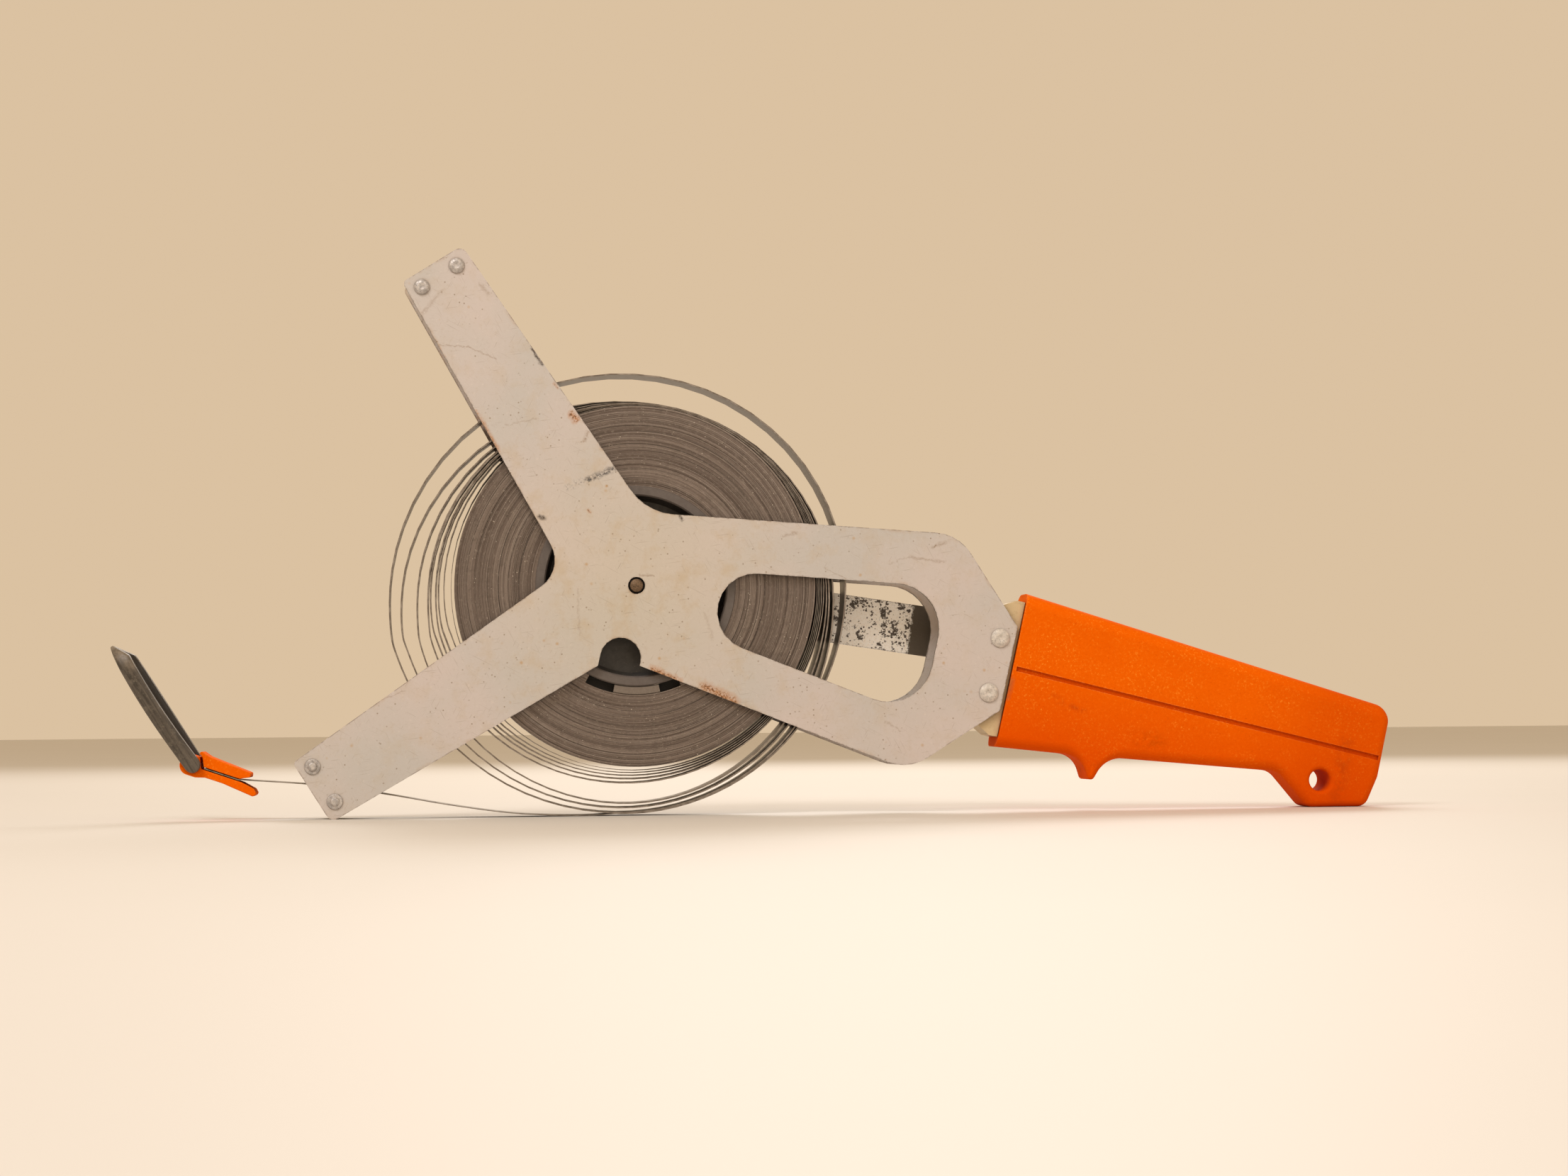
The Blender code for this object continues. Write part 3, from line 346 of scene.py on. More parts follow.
def plate_paint():
    """Grey-white paint, yellowed round the hub, scratched, chipped and rusty at its edges, with
    painted shade in its corners and on its side walls.
    """
    look = Look("plate_paint", (0.60, 0.53, 0.45), 0.45, 0.0, 0.3)
    look.tone = look.mix(look.patch((0.022, 3.0), 0.38, 0.62), (0.575, 0.512, 0.480),
                         (0.520, 0.492, 0.462))
    from_hub = look.vector("LENGTH", look.flat, (0, 0, 0), "Value")
    look.paint((0.55, 0.495, 0.395), look.span(from_hub, 62.0, 12.0, 0.0, 0.55))
    look.paint((0.50, 0.39, 0.25), look.patch((0.10, 5.0, 0.65), 0.50, 0.68),
               look.span(from_hub, 100.0, 20.0, 0.22, 0.5))
    look.paint((0.44, 0.375, 0.31), look.patch((0.8, 6.0, 0.75), 0.54, 0.70, 0.0, 0.4))
    look.paint((0.70, 0.63, 0.57), look.patch((0.7, 5.0, 0.7), 0.42, 0.28, 0.0, 0.45))
    lines = 0.0
    for angle, long, wide, rarity in STREAKS:
        lines = look.math("MAXIMUM", look.streaks(angle, long, wide, rarity), lines)
    look.paint((0.27, 0.205, 0.15), lines, 0.45)
    look.paint((0.23, 0.165, 0.10), look.span(look.cells(0.42), 0.16, 0.05),
               look.patch((0.06, 2.0), 0.42, 0.50), 0.8)
    away = look.vector("ADD", look.flat, (31.0, 0.0, 17.0))
    look.paint((0.46, 0.27, 0.10), look.span(look.cells(0.16, away), 0.13, 0.04),
               look.patch((0.04, 2.0), 0.50, 0.55, at=away), 0.6)
    ragged = look.noise(1.1, 5.0, 0.75)
    wobble = look.vector("ADD", look.flat, look.join(
        look.patch((0.5, 3.0), 0.0, 1.0, -1.2, 1.2), 0.0,
        look.patch((0.5, 3.0), 0.0, 1.0, -1.2, 1.2, at=away)))
    for start, end, half, depth in SCRATCHES:
        look.paint((0.29, 0.205, 0.14), look.near_line(start, end, half * 2.0, wobble),
                   look.span(ragged, 0.38, 0.52, 0.0, depth), 0.7)
    look.paint((0.13, 0.12, 0.115), look.near_line((-24.0, 34.6), (-8.5, 41.2), 1.8, wobble),
               look.patch((1.3, 4.0, 0.7), 0.50, 0.60, 0.0, 0.6))
    look.paint((0.07, 0.065, 0.065), look.near_line((-17.0, 37.4), (-8.0, 41.2), 1.5, wobble),
               look.patch((1.0, 4.0, 0.7), 0.43, 0.53, 0.0, 0.95, at=away))
    # painted shade: darker in corners and grooves
    look.paint((0.27, 0.20, 0.14), look.hollow_shade(1.2), 0.4)
    look.paint((0.44, 0.28, 0.14), look.edges(2.6),
               look.patch((0.09, 4.0, 0.7), 0.52, 0.64, 0.0, 0.5))
    for start, end, reach, share in RUST:
        mark = look.near_line(start, end, reach * 1.6, wobble)
        look.paint((0.46, 0.195, 0.055), mark, look.span(ragged, 0.36, 0.50, 0.0, share))
        look.paint((0.10, 0.045, 0.02), look.span(mark, 0.45, 0.75),
                   look.span(ragged, 0.50, 0.60))
    for start, end, reach in CHIPS:
        look.paint((0.055, 0.04, 0.03), look.near_line(start, end, reach * 1.5, wobble),
                   look.span(ragged, 0.38, 0.48))
    worn = look.times(look.edges(0.8), look.patch((0.28, 5.0, 0.75), 0.46, 0.56))
    look.paint((0.11, 0.065, 0.04), worn, 0.9)
    # painted shade: the side walls (the plates' cut edges and the window's inner walls) are
    # darkened
    look.paint((0.155, 0.135, 0.105),
               look.span(look.math("ABSOLUTE", look.facing()), 0.75, 0.35), 0.82)
    chipped = look.math("SUBTRACT", look.noise(1.6, 2.0), look.math("ADD", worn, lines))
    return look.done(look.noise(0.4, 3.0), (0.38, 0.54), chipped, 0.3, 0.07)


def cream_plastic():
    """Yellowed plastic, with painted shade that turns it grey inside the window and darkens its
    corners.
    """
    look = Look("cream_plastic", (0.62, 0.49, 0.27), 0.5)
    look.tone = look.mix(look.noise(0.2, 3.0), (0.54, 0.41, 0.22), (0.66, 0.52, 0.31))
    # painted shade: grey inside the window
    look.paint((0.185, 0.165, 0.130), look.span(look.measure(-HANDLE_DROP), 122.0, 116.0))
    look.paint((0.40, 0.28, 0.14), look.patch((0.8, 4.0, 0.7), 0.5, 0.75), 0.5)
    # painted shade in corners and grooves
    look.paint((0.20, 0.12, 0.05), look.hollow_shade(4.0), 0.6)
    return look.done(look.noise(1.0, 3.0), (0.4, 0.6), look.noise(3.0, 2.0), 0.2, 0.05)


def orange_plastic(name):
    """Grainy orange with painted glints as pale flecks, a painted highlight on its edges, painted
    shade in its grooves, and dark grime.
    """
    look = Look(name, (0.82, 0.13, 0.0), 0.55, 0.0, 0.05)
    look.set("IOR", 1.25)
    grain = look.noise(1.3, 5.0, 0.75)
    look.tone = look.mix(look.noise(0.05, 3.0), (0.78, 0.112, 0.0), (0.86, 0.135, 0.0))
    # painted glints: pale flecks where the grain catches the light
    look.paint((1.0, 0.34, 0.03), look.span(grain, 0.55, 0.66, 0.0, 0.75),
               look.patch((0.06, 2.0), 0.40, 0.60, 0.25, 1.0))
    look.paint((0.52, 0.05, 0.0), look.span(grain, 0.42, 0.30, 0.0, 0.4))
    # painted shade in grooves and corners, such as the parting groove
    look.paint((0.36, 0.012, 0.0), look.hollow_shade(1.6), 0.75)
    look.paint((0.25, 0.04, 0.005), look.span(look.cells(0.12), 0.08, 0.04),
               look.patch((0.05, 2.0), 0.56, 0.60), 0.6)
    # painted highlight along the edges
    look.paint((0.95, 0.30, 0.05), look.edges(0.7), look.patch((0.8, 4.0), 0.4, 0.6, 0.0, 0.6))
    look.done(grain, (0.55, 0.75), grain, 0.4, 0.12)
    return look


def grip_plastic():
    """The clamp's plastic, with painted shade towards the grip's lower edge and butt end, and the
    smudges that a hand leaves at the grip's ends.
    """
    look = orange_plastic("grip_plastic")
    above = look.measure(90.0 - HANDLE_DROP)
    # painted shade: darker towards the grip's lower edge
    look.paint((0.66, 0.052, 0.0), look.span(above, 4.0, -26.0, 0.0, 0.6))
    # painted shade: darker towards the butt end
    look.paint((0.56, 0.045, 0.0),
               look.span(look.measure(-HANDLE_DROP), 225.0, 262.0, 0.0, 0.45))
    cloud = look.noise(0.22, 4.0, 0.7)
    for start, end, reach, least, share, colour in SMUDGES:
        look.paint(colour, look.near_line(start, end, reach),
                   look.span(cloud, least, least + 0.16, 0.0, share))
    look.set("Base Color", look.tone)
    return look.mat


def rivet_metal(name, light, dark, metallic):
    look = Look(name, light, 0.45, metallic)
    blotch = look.noise(0.9, 4.0, 0.65)
    look.tone = look.mix(look.span(blotch, 0.38, 0.62), light, dark)
    look.paint((0.10, 0.085, 0.07), look.patch((2.4, 3.0, 0.7), 0.60, 0.68, 0.0, 0.8))
    # painted shade in the heads' corners
    look.paint((0.13, 0.10, 0.08), look.hollow_shade(0.7), 0.85)
    return look.done(blotch, (0.36, 0.58), look.noise(3.0, 3.0, 0.6), 0.6, 0.12)


def dark_steel():
    """Rusty brown steel, with painted shade as a dark ring round the axle where it passes the
    plate.
    """
    look = Look("dark_steel", (0.20, 0.13, 0.085), 0.55, 0.6)
    rust = look.noise(1.6, 5.0, 0.7)
    look.tone = look.mix(look.span(rust, 0.35, 0.65), (0.07, 0.045, 0.028), (0.26, 0.17, 0.10))
    radius = look.radius()
    # painted shade: a dark ring round the axle where it passes the plate's hole
    look.paint((0.018, 0.012, 0.009), look.span(radius, 2.1, 2.35), look.span(radius, 3.0, 2.9))
    return look.done(rust, (0.45, 0.75), rust, 0.5, 0.08)


def wound_edges():
    """Edges of the wound tape: fine rings, some lighter, some with dark gaps."""
    look = Look("tape_wound_edges", (0.24, 0.20, 0.17), 0.42, 0.55)
    level = look.level()
    radius = look.radius()
    way = look.split(look.vector("NORMALIZE", level, level))

    def rings(per_mm, round_turn):
        return look.join(look.times(radius, per_mm), look.times(way[0], round_turn),
                         look.times(way[2], round_turn))
    fine = look.noise(1.0, 4.0, 0.75, at=rings(3.2, 0.30))
    look.tone = look.mix(look.patch((1.0, 3.0, 0.6), 0.38, 0.62, at=rings(0.45, 0.25)),
                         (0.128, 0.096, 0.078), (0.208, 0.165, 0.138))
    look.paint((0.34, 0.295, 0.26), look.span(fine, 0.52, 0.62, 0.0, 0.55))
    look.paint((0.032, 0.024, 0.019), look.span(fine, 0.45, 0.38, 0.0, 0.92))
    look.paint((0.42, 0.36, 0.30),
               look.patch((1.0, 4.0, 0.75), 0.55, 0.68, 0.0, 0.35, at=rings(1.5, 30.0)))
    look.paint((0.75, 0.68, 0.58), look.span(look.cells(0.7), 0.15, 0.06),
               look.patch((0.25, 2.0), 0.50, 0.60), 0.8)
    look.paint((0.09, 0.07, 0.055), look.patch((0.5, 5.0, 0.75), 0.52, 0.66, 0.0, 0.4))
    return look.done(fine, (0.52, 0.34), fine, 0.6, 0.12)


def tape_flat():
    """The tape's dark faces and its lighter edges."""
    look = Look("tape_steel", (0.10, 0.08, 0.06), 0.36, 0.75)
    wear = look.noise(0.35, 4.0, 0.65, at=look.vector("MULTIPLY", look.flat, (1.0, 4.0, 1.0)))
    look.tone = look.mix(look.span(wear, 0.35, 0.65), (0.075, 0.058, 0.042),
                         (0.19, 0.155, 0.115))
    look.paint((0.05, 0.03, 0.02), look.patch((2.4, 3.0, 0.7), 0.62, 0.72, 0.0, 0.6))
    edge_tone = look.mix(look.span(wear, 0.4, 0.6), (0.20, 0.17, 0.145), (0.32, 0.28, 0.24))
    look.paint(edge_tone, look.span(look.math("ABSOLUTE", look.facing()), 0.5, 0.9))
    return look.done(wear, (0.30, 0.48), look.noise(2.5, 3.0), 0.25, 0.05)


def clip_steel():
    look = Look("clip_steel", (0.22, 0.185, 0.15), 0.45, 0.6)
    look.tone = look.mix(look.noise(1.5, 4.0, 0.7), (0.15, 0.12, 0.10), (0.27, 0.235, 0.20))
    return look.done(look.noise(2.0, 2.0), (0.35, 0.55))


def hub_plastic():
    """Dusty black plastic, lighter on the rim's edge; the recessed web inside the rim is darker,
    as painted shade.
    """
    look = Look("hub_plastic", (0.06, 0.055, 0.05), 0.5)
    web = look.mix(look.noise(0.4, 4.0), (0.028, 0.025, 0.022), (0.060, 0.054, 0.047))
    edge = look.mix(look.noise(0.6, 4.0), (0.085, 0.068, 0.060), (0.135, 0.115, 0.103))
    # painted shade: the web, recessed inside the rim, is darker than the rim's edge
    look.tone = look.mix(look.span(look.radius(), 31.6, 32.0), web, edge)
    look.paint((0.25, 0.21, 0.16), look.patch((1.8, 5.0, 0.7), 0.60, 0.78, 0.0, 0.4))
    return look.done(look.noise(1.0, 3.0), (0.40, 0.60), look.noise(3.0, 3.0), 0.3, 0.06)


def slot_shade():
    # painted shade: near-black floors in the slots beside the tape's clip
    look = Look("slot_shade", (0.006, 0.005, 0.004), 0.7)
    shade_grain = look.noise(1.5, 3.0)
    look.set("Base Color", look.mix(shade_grain, (0.004, 0.003, 0.002), (0.014, 0.011, 0.008)))
    look.bump(shade_grain, 0.3, 0.08)
    return look.mat


def crank_nickel():
    """Worn nickel plating, its bright mirror reflection painted as a near-white colour, with dark
    specks and clusters of rust, brown at its end.
    """
    look = Look("crank_nickel", (0.96, 0.94, 0.90), 0.3, 0.0, 0.9)
    patches = look.noise(0.16, 3.0, 0.6)
    crowd = look.span(patches, 0.42, 0.60, 0.0, 0.12)
    rough = look.noise(1.4, 5.0, 0.75)
    cluster = look.span(look.math("ADD", look.noise(0.55, 5.0, 0.75), crowd), 0.615, 0.645)
    spots = look.math("SUBTRACT", look.cells(0.62), look.times(crowd, 0.8))
    spots = look.math("ADD", spots, look.span(rough, 0.3, 0.7, -0.08, 0.08))
    dots = look.times(look.span(spots, 0.20, 0.15), look.span(patches, 0.30, 0.36))
    small = look.times(look.span(look.cells(1.3), 0.20, 0.12), look.patch((0.4, 2.0), 0.44, 0.50))
    pits = look.math("MAXIMUM", look.math("MAXIMUM", cluster, dots), small)
    # painted reflection: the nickel's bright mirror reflection is painted as a near-white colour
    # on a non-metal
    look.tone = look.mix(look.span(rough, 0.48, 0.62, 0.0, 0.4), (0.97, 0.95, 0.91),
                         (0.80, 0.68, 0.52))
    look.paint((0.05, 0.035, 0.025), pits)
    frayed = look.math("ADD", look.measure(-CRANK_DROP), look.span(rough, 0.3, 0.7, -0.8, 0.8))
    # darker brown beyond about 102 mm from the axle
    dark_end = look.span(frayed, 101.6, 102.4)
    look.paint((0.065, 0.048, 0.028), dark_end)
    look.paint((0.10, 0.065, 0.04), look.edges(0.8), look.span(rough, 0.40, 0.55, 0.3, 0.9))
    look.set("Base Color", look.tone)
    look.set("Roughness", look.span(look.math("MAXIMUM", pits, dark_end), 0.0, 1.0, 0.28, 0.65))
    look.bump(look.math("SUBTRACT", look.noise(2.0, 2.0), pits), 0.3, 0.10)
    return look.mat


def knob_plastic():
    look = Look("knob_plastic", (0.012, 0.012, 0.012), 0.22)
    haze = look.noise(0.6, 5.0, 0.7)
    look.tone = look.mix(look.span(haze, 0.5, 0.8, 0.0, 0.5), (0.010, 0.010, 0.010),
                         (0.045, 0.040, 0.036))
    return look.done(haze, (0.16, 0.38), look.noise(1.2, 4.0), 0.1, 0.06)


def ring_plastic():
    """Dark, handled plastic with moulding streaks along the loop, a worn pale tip, and painted
    shade on the inner face of its far side.
    """
    look = Look("ring_plastic", (0.065, 0.052, 0.038), 0.42, 0.0, 0.4)
    depth = look.split(look.flat)[1]
    grown = look.join(look.times(look.measure(RING_RISE), 0.06),
                      look.measure(RING_RISE + 90.0), depth)
    streak = look.noise(0.9, 4.0, 0.65, at=grown)
    look.tone = look.mix(look.span(streak, 0.38, 0.62), (0.040, 0.032, 0.023),
                         (0.105, 0.086, 0.066))
    cloud = look.noise(0.5, 5.0, 0.7)
    look.paint((0.15, 0.125, 0.095), look.span(cloud, 0.52, 0.68, 0.0, 0.6))
    look.paint((0.32, 0.27, 0.21), look.patch((1.5, 5.0, 0.75), 0.60, 0.68),
               look.patch((0.12, 2.0), 0.45, 0.65, 0.2, 0.8))
    look.paint((0.24, 0.19, 0.135), look.near_line((-181.5, -20.0), (-174.5, -26.5), 3.4),
               look.span(cloud, 0.30, 0.60, 0.2, 0.75))
    # painted shade: the far side's inner face, which faces the front, is painted near black
    look.paint((0.010, 0.008, 0.006), look.span(depth, MIDDLE - 1.0, MIDDLE + 1.0),
               look.span(look.facing(), -0.4, -0.8), 0.85)
    height = look.math("ADD", streak, look.noise(2.2, 4.0, 0.6))
    return look.done(look.noise(0.8, 4.0), (0.32, 0.52), height, 0.3, 0.08)


def roller_nylon():
    look = Look("roller_nylon", (0.52, 0.48, 0.40), 0.45)
    look.tone = look.mix(look.noise(0.8, 4.0, 0.7), (0.40, 0.35, 0.27), (0.62, 0.58, 0.50))
    # painted shade in the waist and corners
    look.paint((0.12, 0.09, 0.06), look.hollow_shade(2.0))
    return look.done(look.noise(1.4, 3.0), (0.38, 0.58), look.noise(3.0, 2.0), 0.2, 0.05)


# ---------------------------------------------------------------- mesh building

ARC_STEP = 7.0                  # degrees between the points of a fillet


def rounded(corners):
    """Outline through corners given as (x, z, fillet radius)."""
    outline = []
    count = len(corners)
    for i, (x, z, radius) in enumerate(corners):
        here = Vector((x, z))
        before = (Vector(corners[i - 1][:2]) - here).normalized()
        after = (Vector(corners[(i + 1) % count][:2]) - here).normalized()
        if radius <= 0.0:
            outline.append(here)
            continue
        opening = before.angle(after)
        centre = here + (before + after).normalized() * radius / sin(opening / 2)
        first = here + before * radius / tan(opening / 2) - centre
        turn = pi - opening
        if before.x * after.y - before.y * after.x > 0.0:
            turn = -turn
        steps = max(2, ceil(abs(degrees(turn)) / ARC_STEP))
        for k in range(steps + 1):
            angle = turn * k / steps
            outline.append(centre + Vector((
                first.x * cos(angle) - first.y * sin(angle),
                first.x * sin(angle) + first.y * cos(angle))))
    return outline


def polygon(radius, sides):
    turns = [2 * pi * k / sides for k in range(sides)]
    return [Vector((radius * cos(turn), radius * sin(turn))) for turn in turns]


def prism(outline, y_low, y_high):
    """Closed solid: an XZ outline extruded along Y."""
    shape = bmesh.new()
    face = shape.faces.new([shape.verts.new((p[0] * MM, y_low * MM, p[1] * MM)) for p in outline])
    side = bmesh.ops.extrude_face_region(shape, geom=[face])
    moved = [v for v in side["geom"] if isinstance(v, bmesh.types.BMVert)]
    bmesh.ops.translate(shape, verts=moved, vec=(0.0, (y_high - y_low) * MM, 0.0))
    bmesh.ops.recalc_face_normals(shape, faces=shape.faces)
    return shape


def turned(profile, segments, closed=True):
    """Solid of revolution about Y; profile is (radius, y), an open one ends on the axis."""
    shape = bmesh.new()
    verts = [shape.verts.new((r * MM, y * MM, 0.0)) for r, y in profile]
    edges = [shape.edges.new(pair) for pair in zip(verts, verts[1:])]
    if closed:
        edges.append(shape.edges.new((verts[-1], verts[0])))
    bmesh.ops.spin(shape, geom=verts + edges, cent=(0, 0, 0), axis=(0, 1, 0),
                   angle=2 * pi, steps=segments, use_merge=True)
    bmesh.ops.remove_doubles(shape, verts=shape.verts, dist=1e-7)
    bmesh.ops.recalc_face_normals(shape, faces=shape.faces)
    return shape


def mirrored(front, low_plus_high=FRAME_WIDTH):
    """A profile that goes on with its mirror image, by default in the frame's middle plane."""
    return front + [(r, low_plus_high - y) for r, y in reversed(front)]


def tube(rings):
    """Closed skin through rings of points in millimetres, ends capped."""
    shape = bmesh.new()
    loops = [[shape.verts.new(Vector(point) * MM) for point in ring] for ring in rings]
    count = len(loops[0])
    for ring, following in zip(loops, loops[1:]):
        for k in range(count):
            shape.faces.new((ring[k], ring[k - 1], following[k - 1], following[k]))
    shape.faces.new(loops[0])
    shape.faces.new(reversed(loops[-1]))
    bmesh.ops.recalc_face_normals(shape, faces=shape.faces)
    return shape


def with_sides(path):
    """Each point of a plane path, and the direction to its left."""
    for before, here, after in zip([path[0], *path], path, [*path[1:], path[-1]]):
        along = (after - before).normalized()
        yield here, Vector((-along.y, along.x))


def ribbon(path, thick, wander):
    """Flat tape along XZ points, with each point's thickness and its sideways shift in Y."""
    rings = []
    for (here, left), thickness, shift in zip(with_sides(path), thick, wander):
        side = left * thickness / 2
        inner, outer = here - side, here + side
        rings.append([(p.x, TAPE_LOW + shift + y, p.y) for p, y in (
            (inner, 0.0), (outer, 0.0), (outer, TAPE_WIDE), (inner, TAPE_WIDE))])
    return tube(rings)


def smooth_path(points, steps):
    """Catmull-Rom curve through points, with steps to each span."""
    padded = [points[0] * 2 - points[1], *points, points[-1] * 2 - points[-2]]
    curve = []
    for p0, p1, p2, p3 in zip(padded, padded[1:], padded[2:], padded[3:]):
        for k in range(steps):
            t = k / steps
            curve.append(0.5 * (2 * p1 + (p2 - p0) * t + (2 * p0 - 5 * p1 + 4 * p2 - p3) * t * t
                                + (3 * p1 - p0 - 3 * p2 + p3) * t ** 3))
    return curve + [points[-1]]


def set_shading(mesh, angle=35.0):
    mesh.shade_smooth()
    mesh.set_sharp_from_angle(angle=radians(angle))


def solid(name, shape, placement, mat):
    """An object from a bmesh, with its points moved into the tool's frame."""
    shape.transform(placement)
    mesh = bpy.data.meshes.new(name)
    shape.to_mesh(mesh)
    shape.free()
    set_shading(mesh)
    made = bpy.data.objects.new(name, mesh)
    bpy.context.collection.objects.link(made)
    if mat:
        mesh.materials.append(mat)
    return made


def hand_over(made, body, *nodes):
    """Let a piece ride on a body and stand for CAD nodes."""
    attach(made, body)
    name = made.data.materials[0].name.split(".")[0]    # without the number Blender may add
    if nodes:
        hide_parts(*nodes)
    return made


def piece(node, shape, placement, mat, body):
    """The detailed piece that stands for one CAD node."""
    return hand_over(solid(f"{node}_detailed", shape, placement, mat), body, node)


def soften(target, width, segments=3):
    """Bevel every edge that is sharper than 30 degrees; width is in millimetres."""
    step = target.modifiers.new("soft_edges", "BEVEL")
    step.width = width * MM
    step.segments = segments
    step.limit_method = "ANGLE"
    step.angle_limit = radians(30.0)
    step.harden_normals = True


def cut(target, tools, added=()):
    """Join added solids to target and cut tools out of it for good, then remove them all."""
    for tool in (*added, *tools):
        step = target.modifiers.new(tool.name, "BOOLEAN")
        step.operation = "UNION" if tool in added else "DIFFERENCE"
        step.solver = "EXACT"
        step.object = tool
    bpy.context.view_layer.update()
    seen = target.evaluated_get(bpy.context.evaluated_depsgraph_get())
    mesh = bpy.data.meshes.new_from_object(seen)
    target.modifiers.clear()
    target.data = mesh
    set_shading(mesh, 28.0)
    for tool in (*added, *tools):
        bpy.data.objects.remove(tool, do_unlink=True)


# ---------------------------------------------------------------- pieces

def dress_frame(looks):
    """CAD pieces whose shape is kept: their edges are softened and their paint made."""
    kept = {"front_frame_plate": ("plate", 0.25), "rear_frame_plate": ("plate", 0.25),
            "handle_core": ("cream", 0.3), "crank_arm": ("nickel", 0.3)}
    for name, (look, width) in kept.items():
        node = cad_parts[name]
        weld = node.modifiers.new("weld", "WELD")
        weld.merge_threshold = 1e-6
        soften(node, width, 2)
        node.data.materials.clear()
        node.data.materials.append(looks[look])


HEAD_GAP = 0.3                  # between a head's underside and the plate
SHANK_R = 2.2
# Rivet heads from the middle out: share of the head's radius, and height in millimetres.
DOMED = ((0.0, 0.86), (0.22, 0.84), (0.34, 0.93), (0.50, 1.02), (0.62, 0.90), (0.78, 0.72),
         (0.90, 0.46), (0.97, 0.22), (1.0, 0.0))
IMPRINTED = ((0.0, 0.72), (0.28, 0.74), (0.36, 0.90), (0.46, 0.92), (0.66, 0.76), (0.84, 0.50),
             (0.95, 0.24), (1.0, 0.0))
STEPPED = ((0.0, 0.98), (0.30, 1.0), (0.42, 0.94), (0.52, 0.74), (0.58, 0.42), (0.64, 0.30),
           (0.84, 0.30), (0.95, 0.20), (1.0, 0.0))


def make_rivet(name, u, v, head_r, head, mat):
    """A rivet through the frame, with a head on each side."""
    front = [(share * head_r, -HEAD_GAP - height) for share, height in head]
    shape = turned(mirrored(front + [(SHANK_R, -HEAD_GAP)]), 48, closed=False)
    piece(name, shape, axes((u, 0.0, v), 0.0, HANDLE), mat, "frame")


def arm_point(reach, aside, side):
    """A point on an arm, from the axle along the handle; side is 1 for the upper arm."""
    angle = radians(ARM_ANGLE)
    x = cos(angle) * reach + sin(angle) * aside
    z = sin(angle) * reach - cos(angle) * aside
    return x, z * side


def make_roller(key, u, v, mat):
    """A spool between the plates, with a shallow waist."""
    low, bore, waist, rim = 1.8, 2.5, 3.7, 4.0
    profile = mirrored([(bore, low), (rim - 0.4, low), (rim, low + 0.4), (rim, low + 1.6),
                        (waist, low + 2.2)])
    piece(f"guide_roller_{key}", turned(profile, 48), axes((u, 0.0, v), 0.0, HANDLE), mat,
          f"roller_{key}")


def make_fasteners(looks):
    for side, side_name, tip_head in ((1, "upper", DOMED), (-1, "lower", STEPPED)):
        for way, way_name in ((-1, "outer"), (1, "inner")):
            key = f"{side_name}_{way_name}"
            u, v = arm_point(TIP_REACH, way * TIP_ASIDE, side)
            make_rivet(f"tip_rivet_{key}", u, v, TIP_HEAD_R, tip_head, looks["rivet"])
            make_roller(key, u, v, looks["nylon"])
        make_rivet(f"grip_rivet_{side_name}", GRIP_RIVET_U, side * GRIP_RIVET_V, GRIP_HEAD_R,
                   IMPRINTED, looks["pale"])


def inset(corners, cuts):
    """Corners with each edge moved inwards; cuts[i] is for the edge that leaves corner i."""
    moved = []
    for i, (x, z, radius) in enumerate(corners):
        here = Vector((x, z))
        into = (here - Vector(corners[i - 1][:2])).normalized()
        away = (Vector(corners[(i + 1) % len(corners)][:2]) - here).normalized()
        before, after = Vector((-into.y, into.x)), Vector((-away.y, away.x))
        bend = into.x * away.y - into.y * away.x
        slide = (cuts[i - 1] * before.dot(after) - cuts[i]) / bend
        place = here + before * cuts[i - 1] + into * slide
        shrink = (cuts[i - 1] + cuts[i]) / 2
        if radius:
            radius = max(0.05, radius - shrink) if bend > 0.0 else radius + shrink
        moved.append((place.x, place.y, radius))
    return moved


def rounded_slab(corners, rounding, low, high):
    """Slab between low and high with a quarter round of its own radius along each edge."""
    most = max(rounding)
    steps = 8
    depths = [most * (1.0 - cos(pi * k / (2 * steps))) for k in range(steps + 1)]

    def level(depth, y):
        cuts = [r - sqrt(r * r - max(0.0, r - depth) ** 2) for r in rounding]
        return [(p.x, y, p.y) for p in rounded(inset(corners, cuts))]
    front = [level(depth, low + depth) for depth in depths]
    rear = [level(depth, high - depth) for depth in reversed(depths)]
    return tube(front + rear)


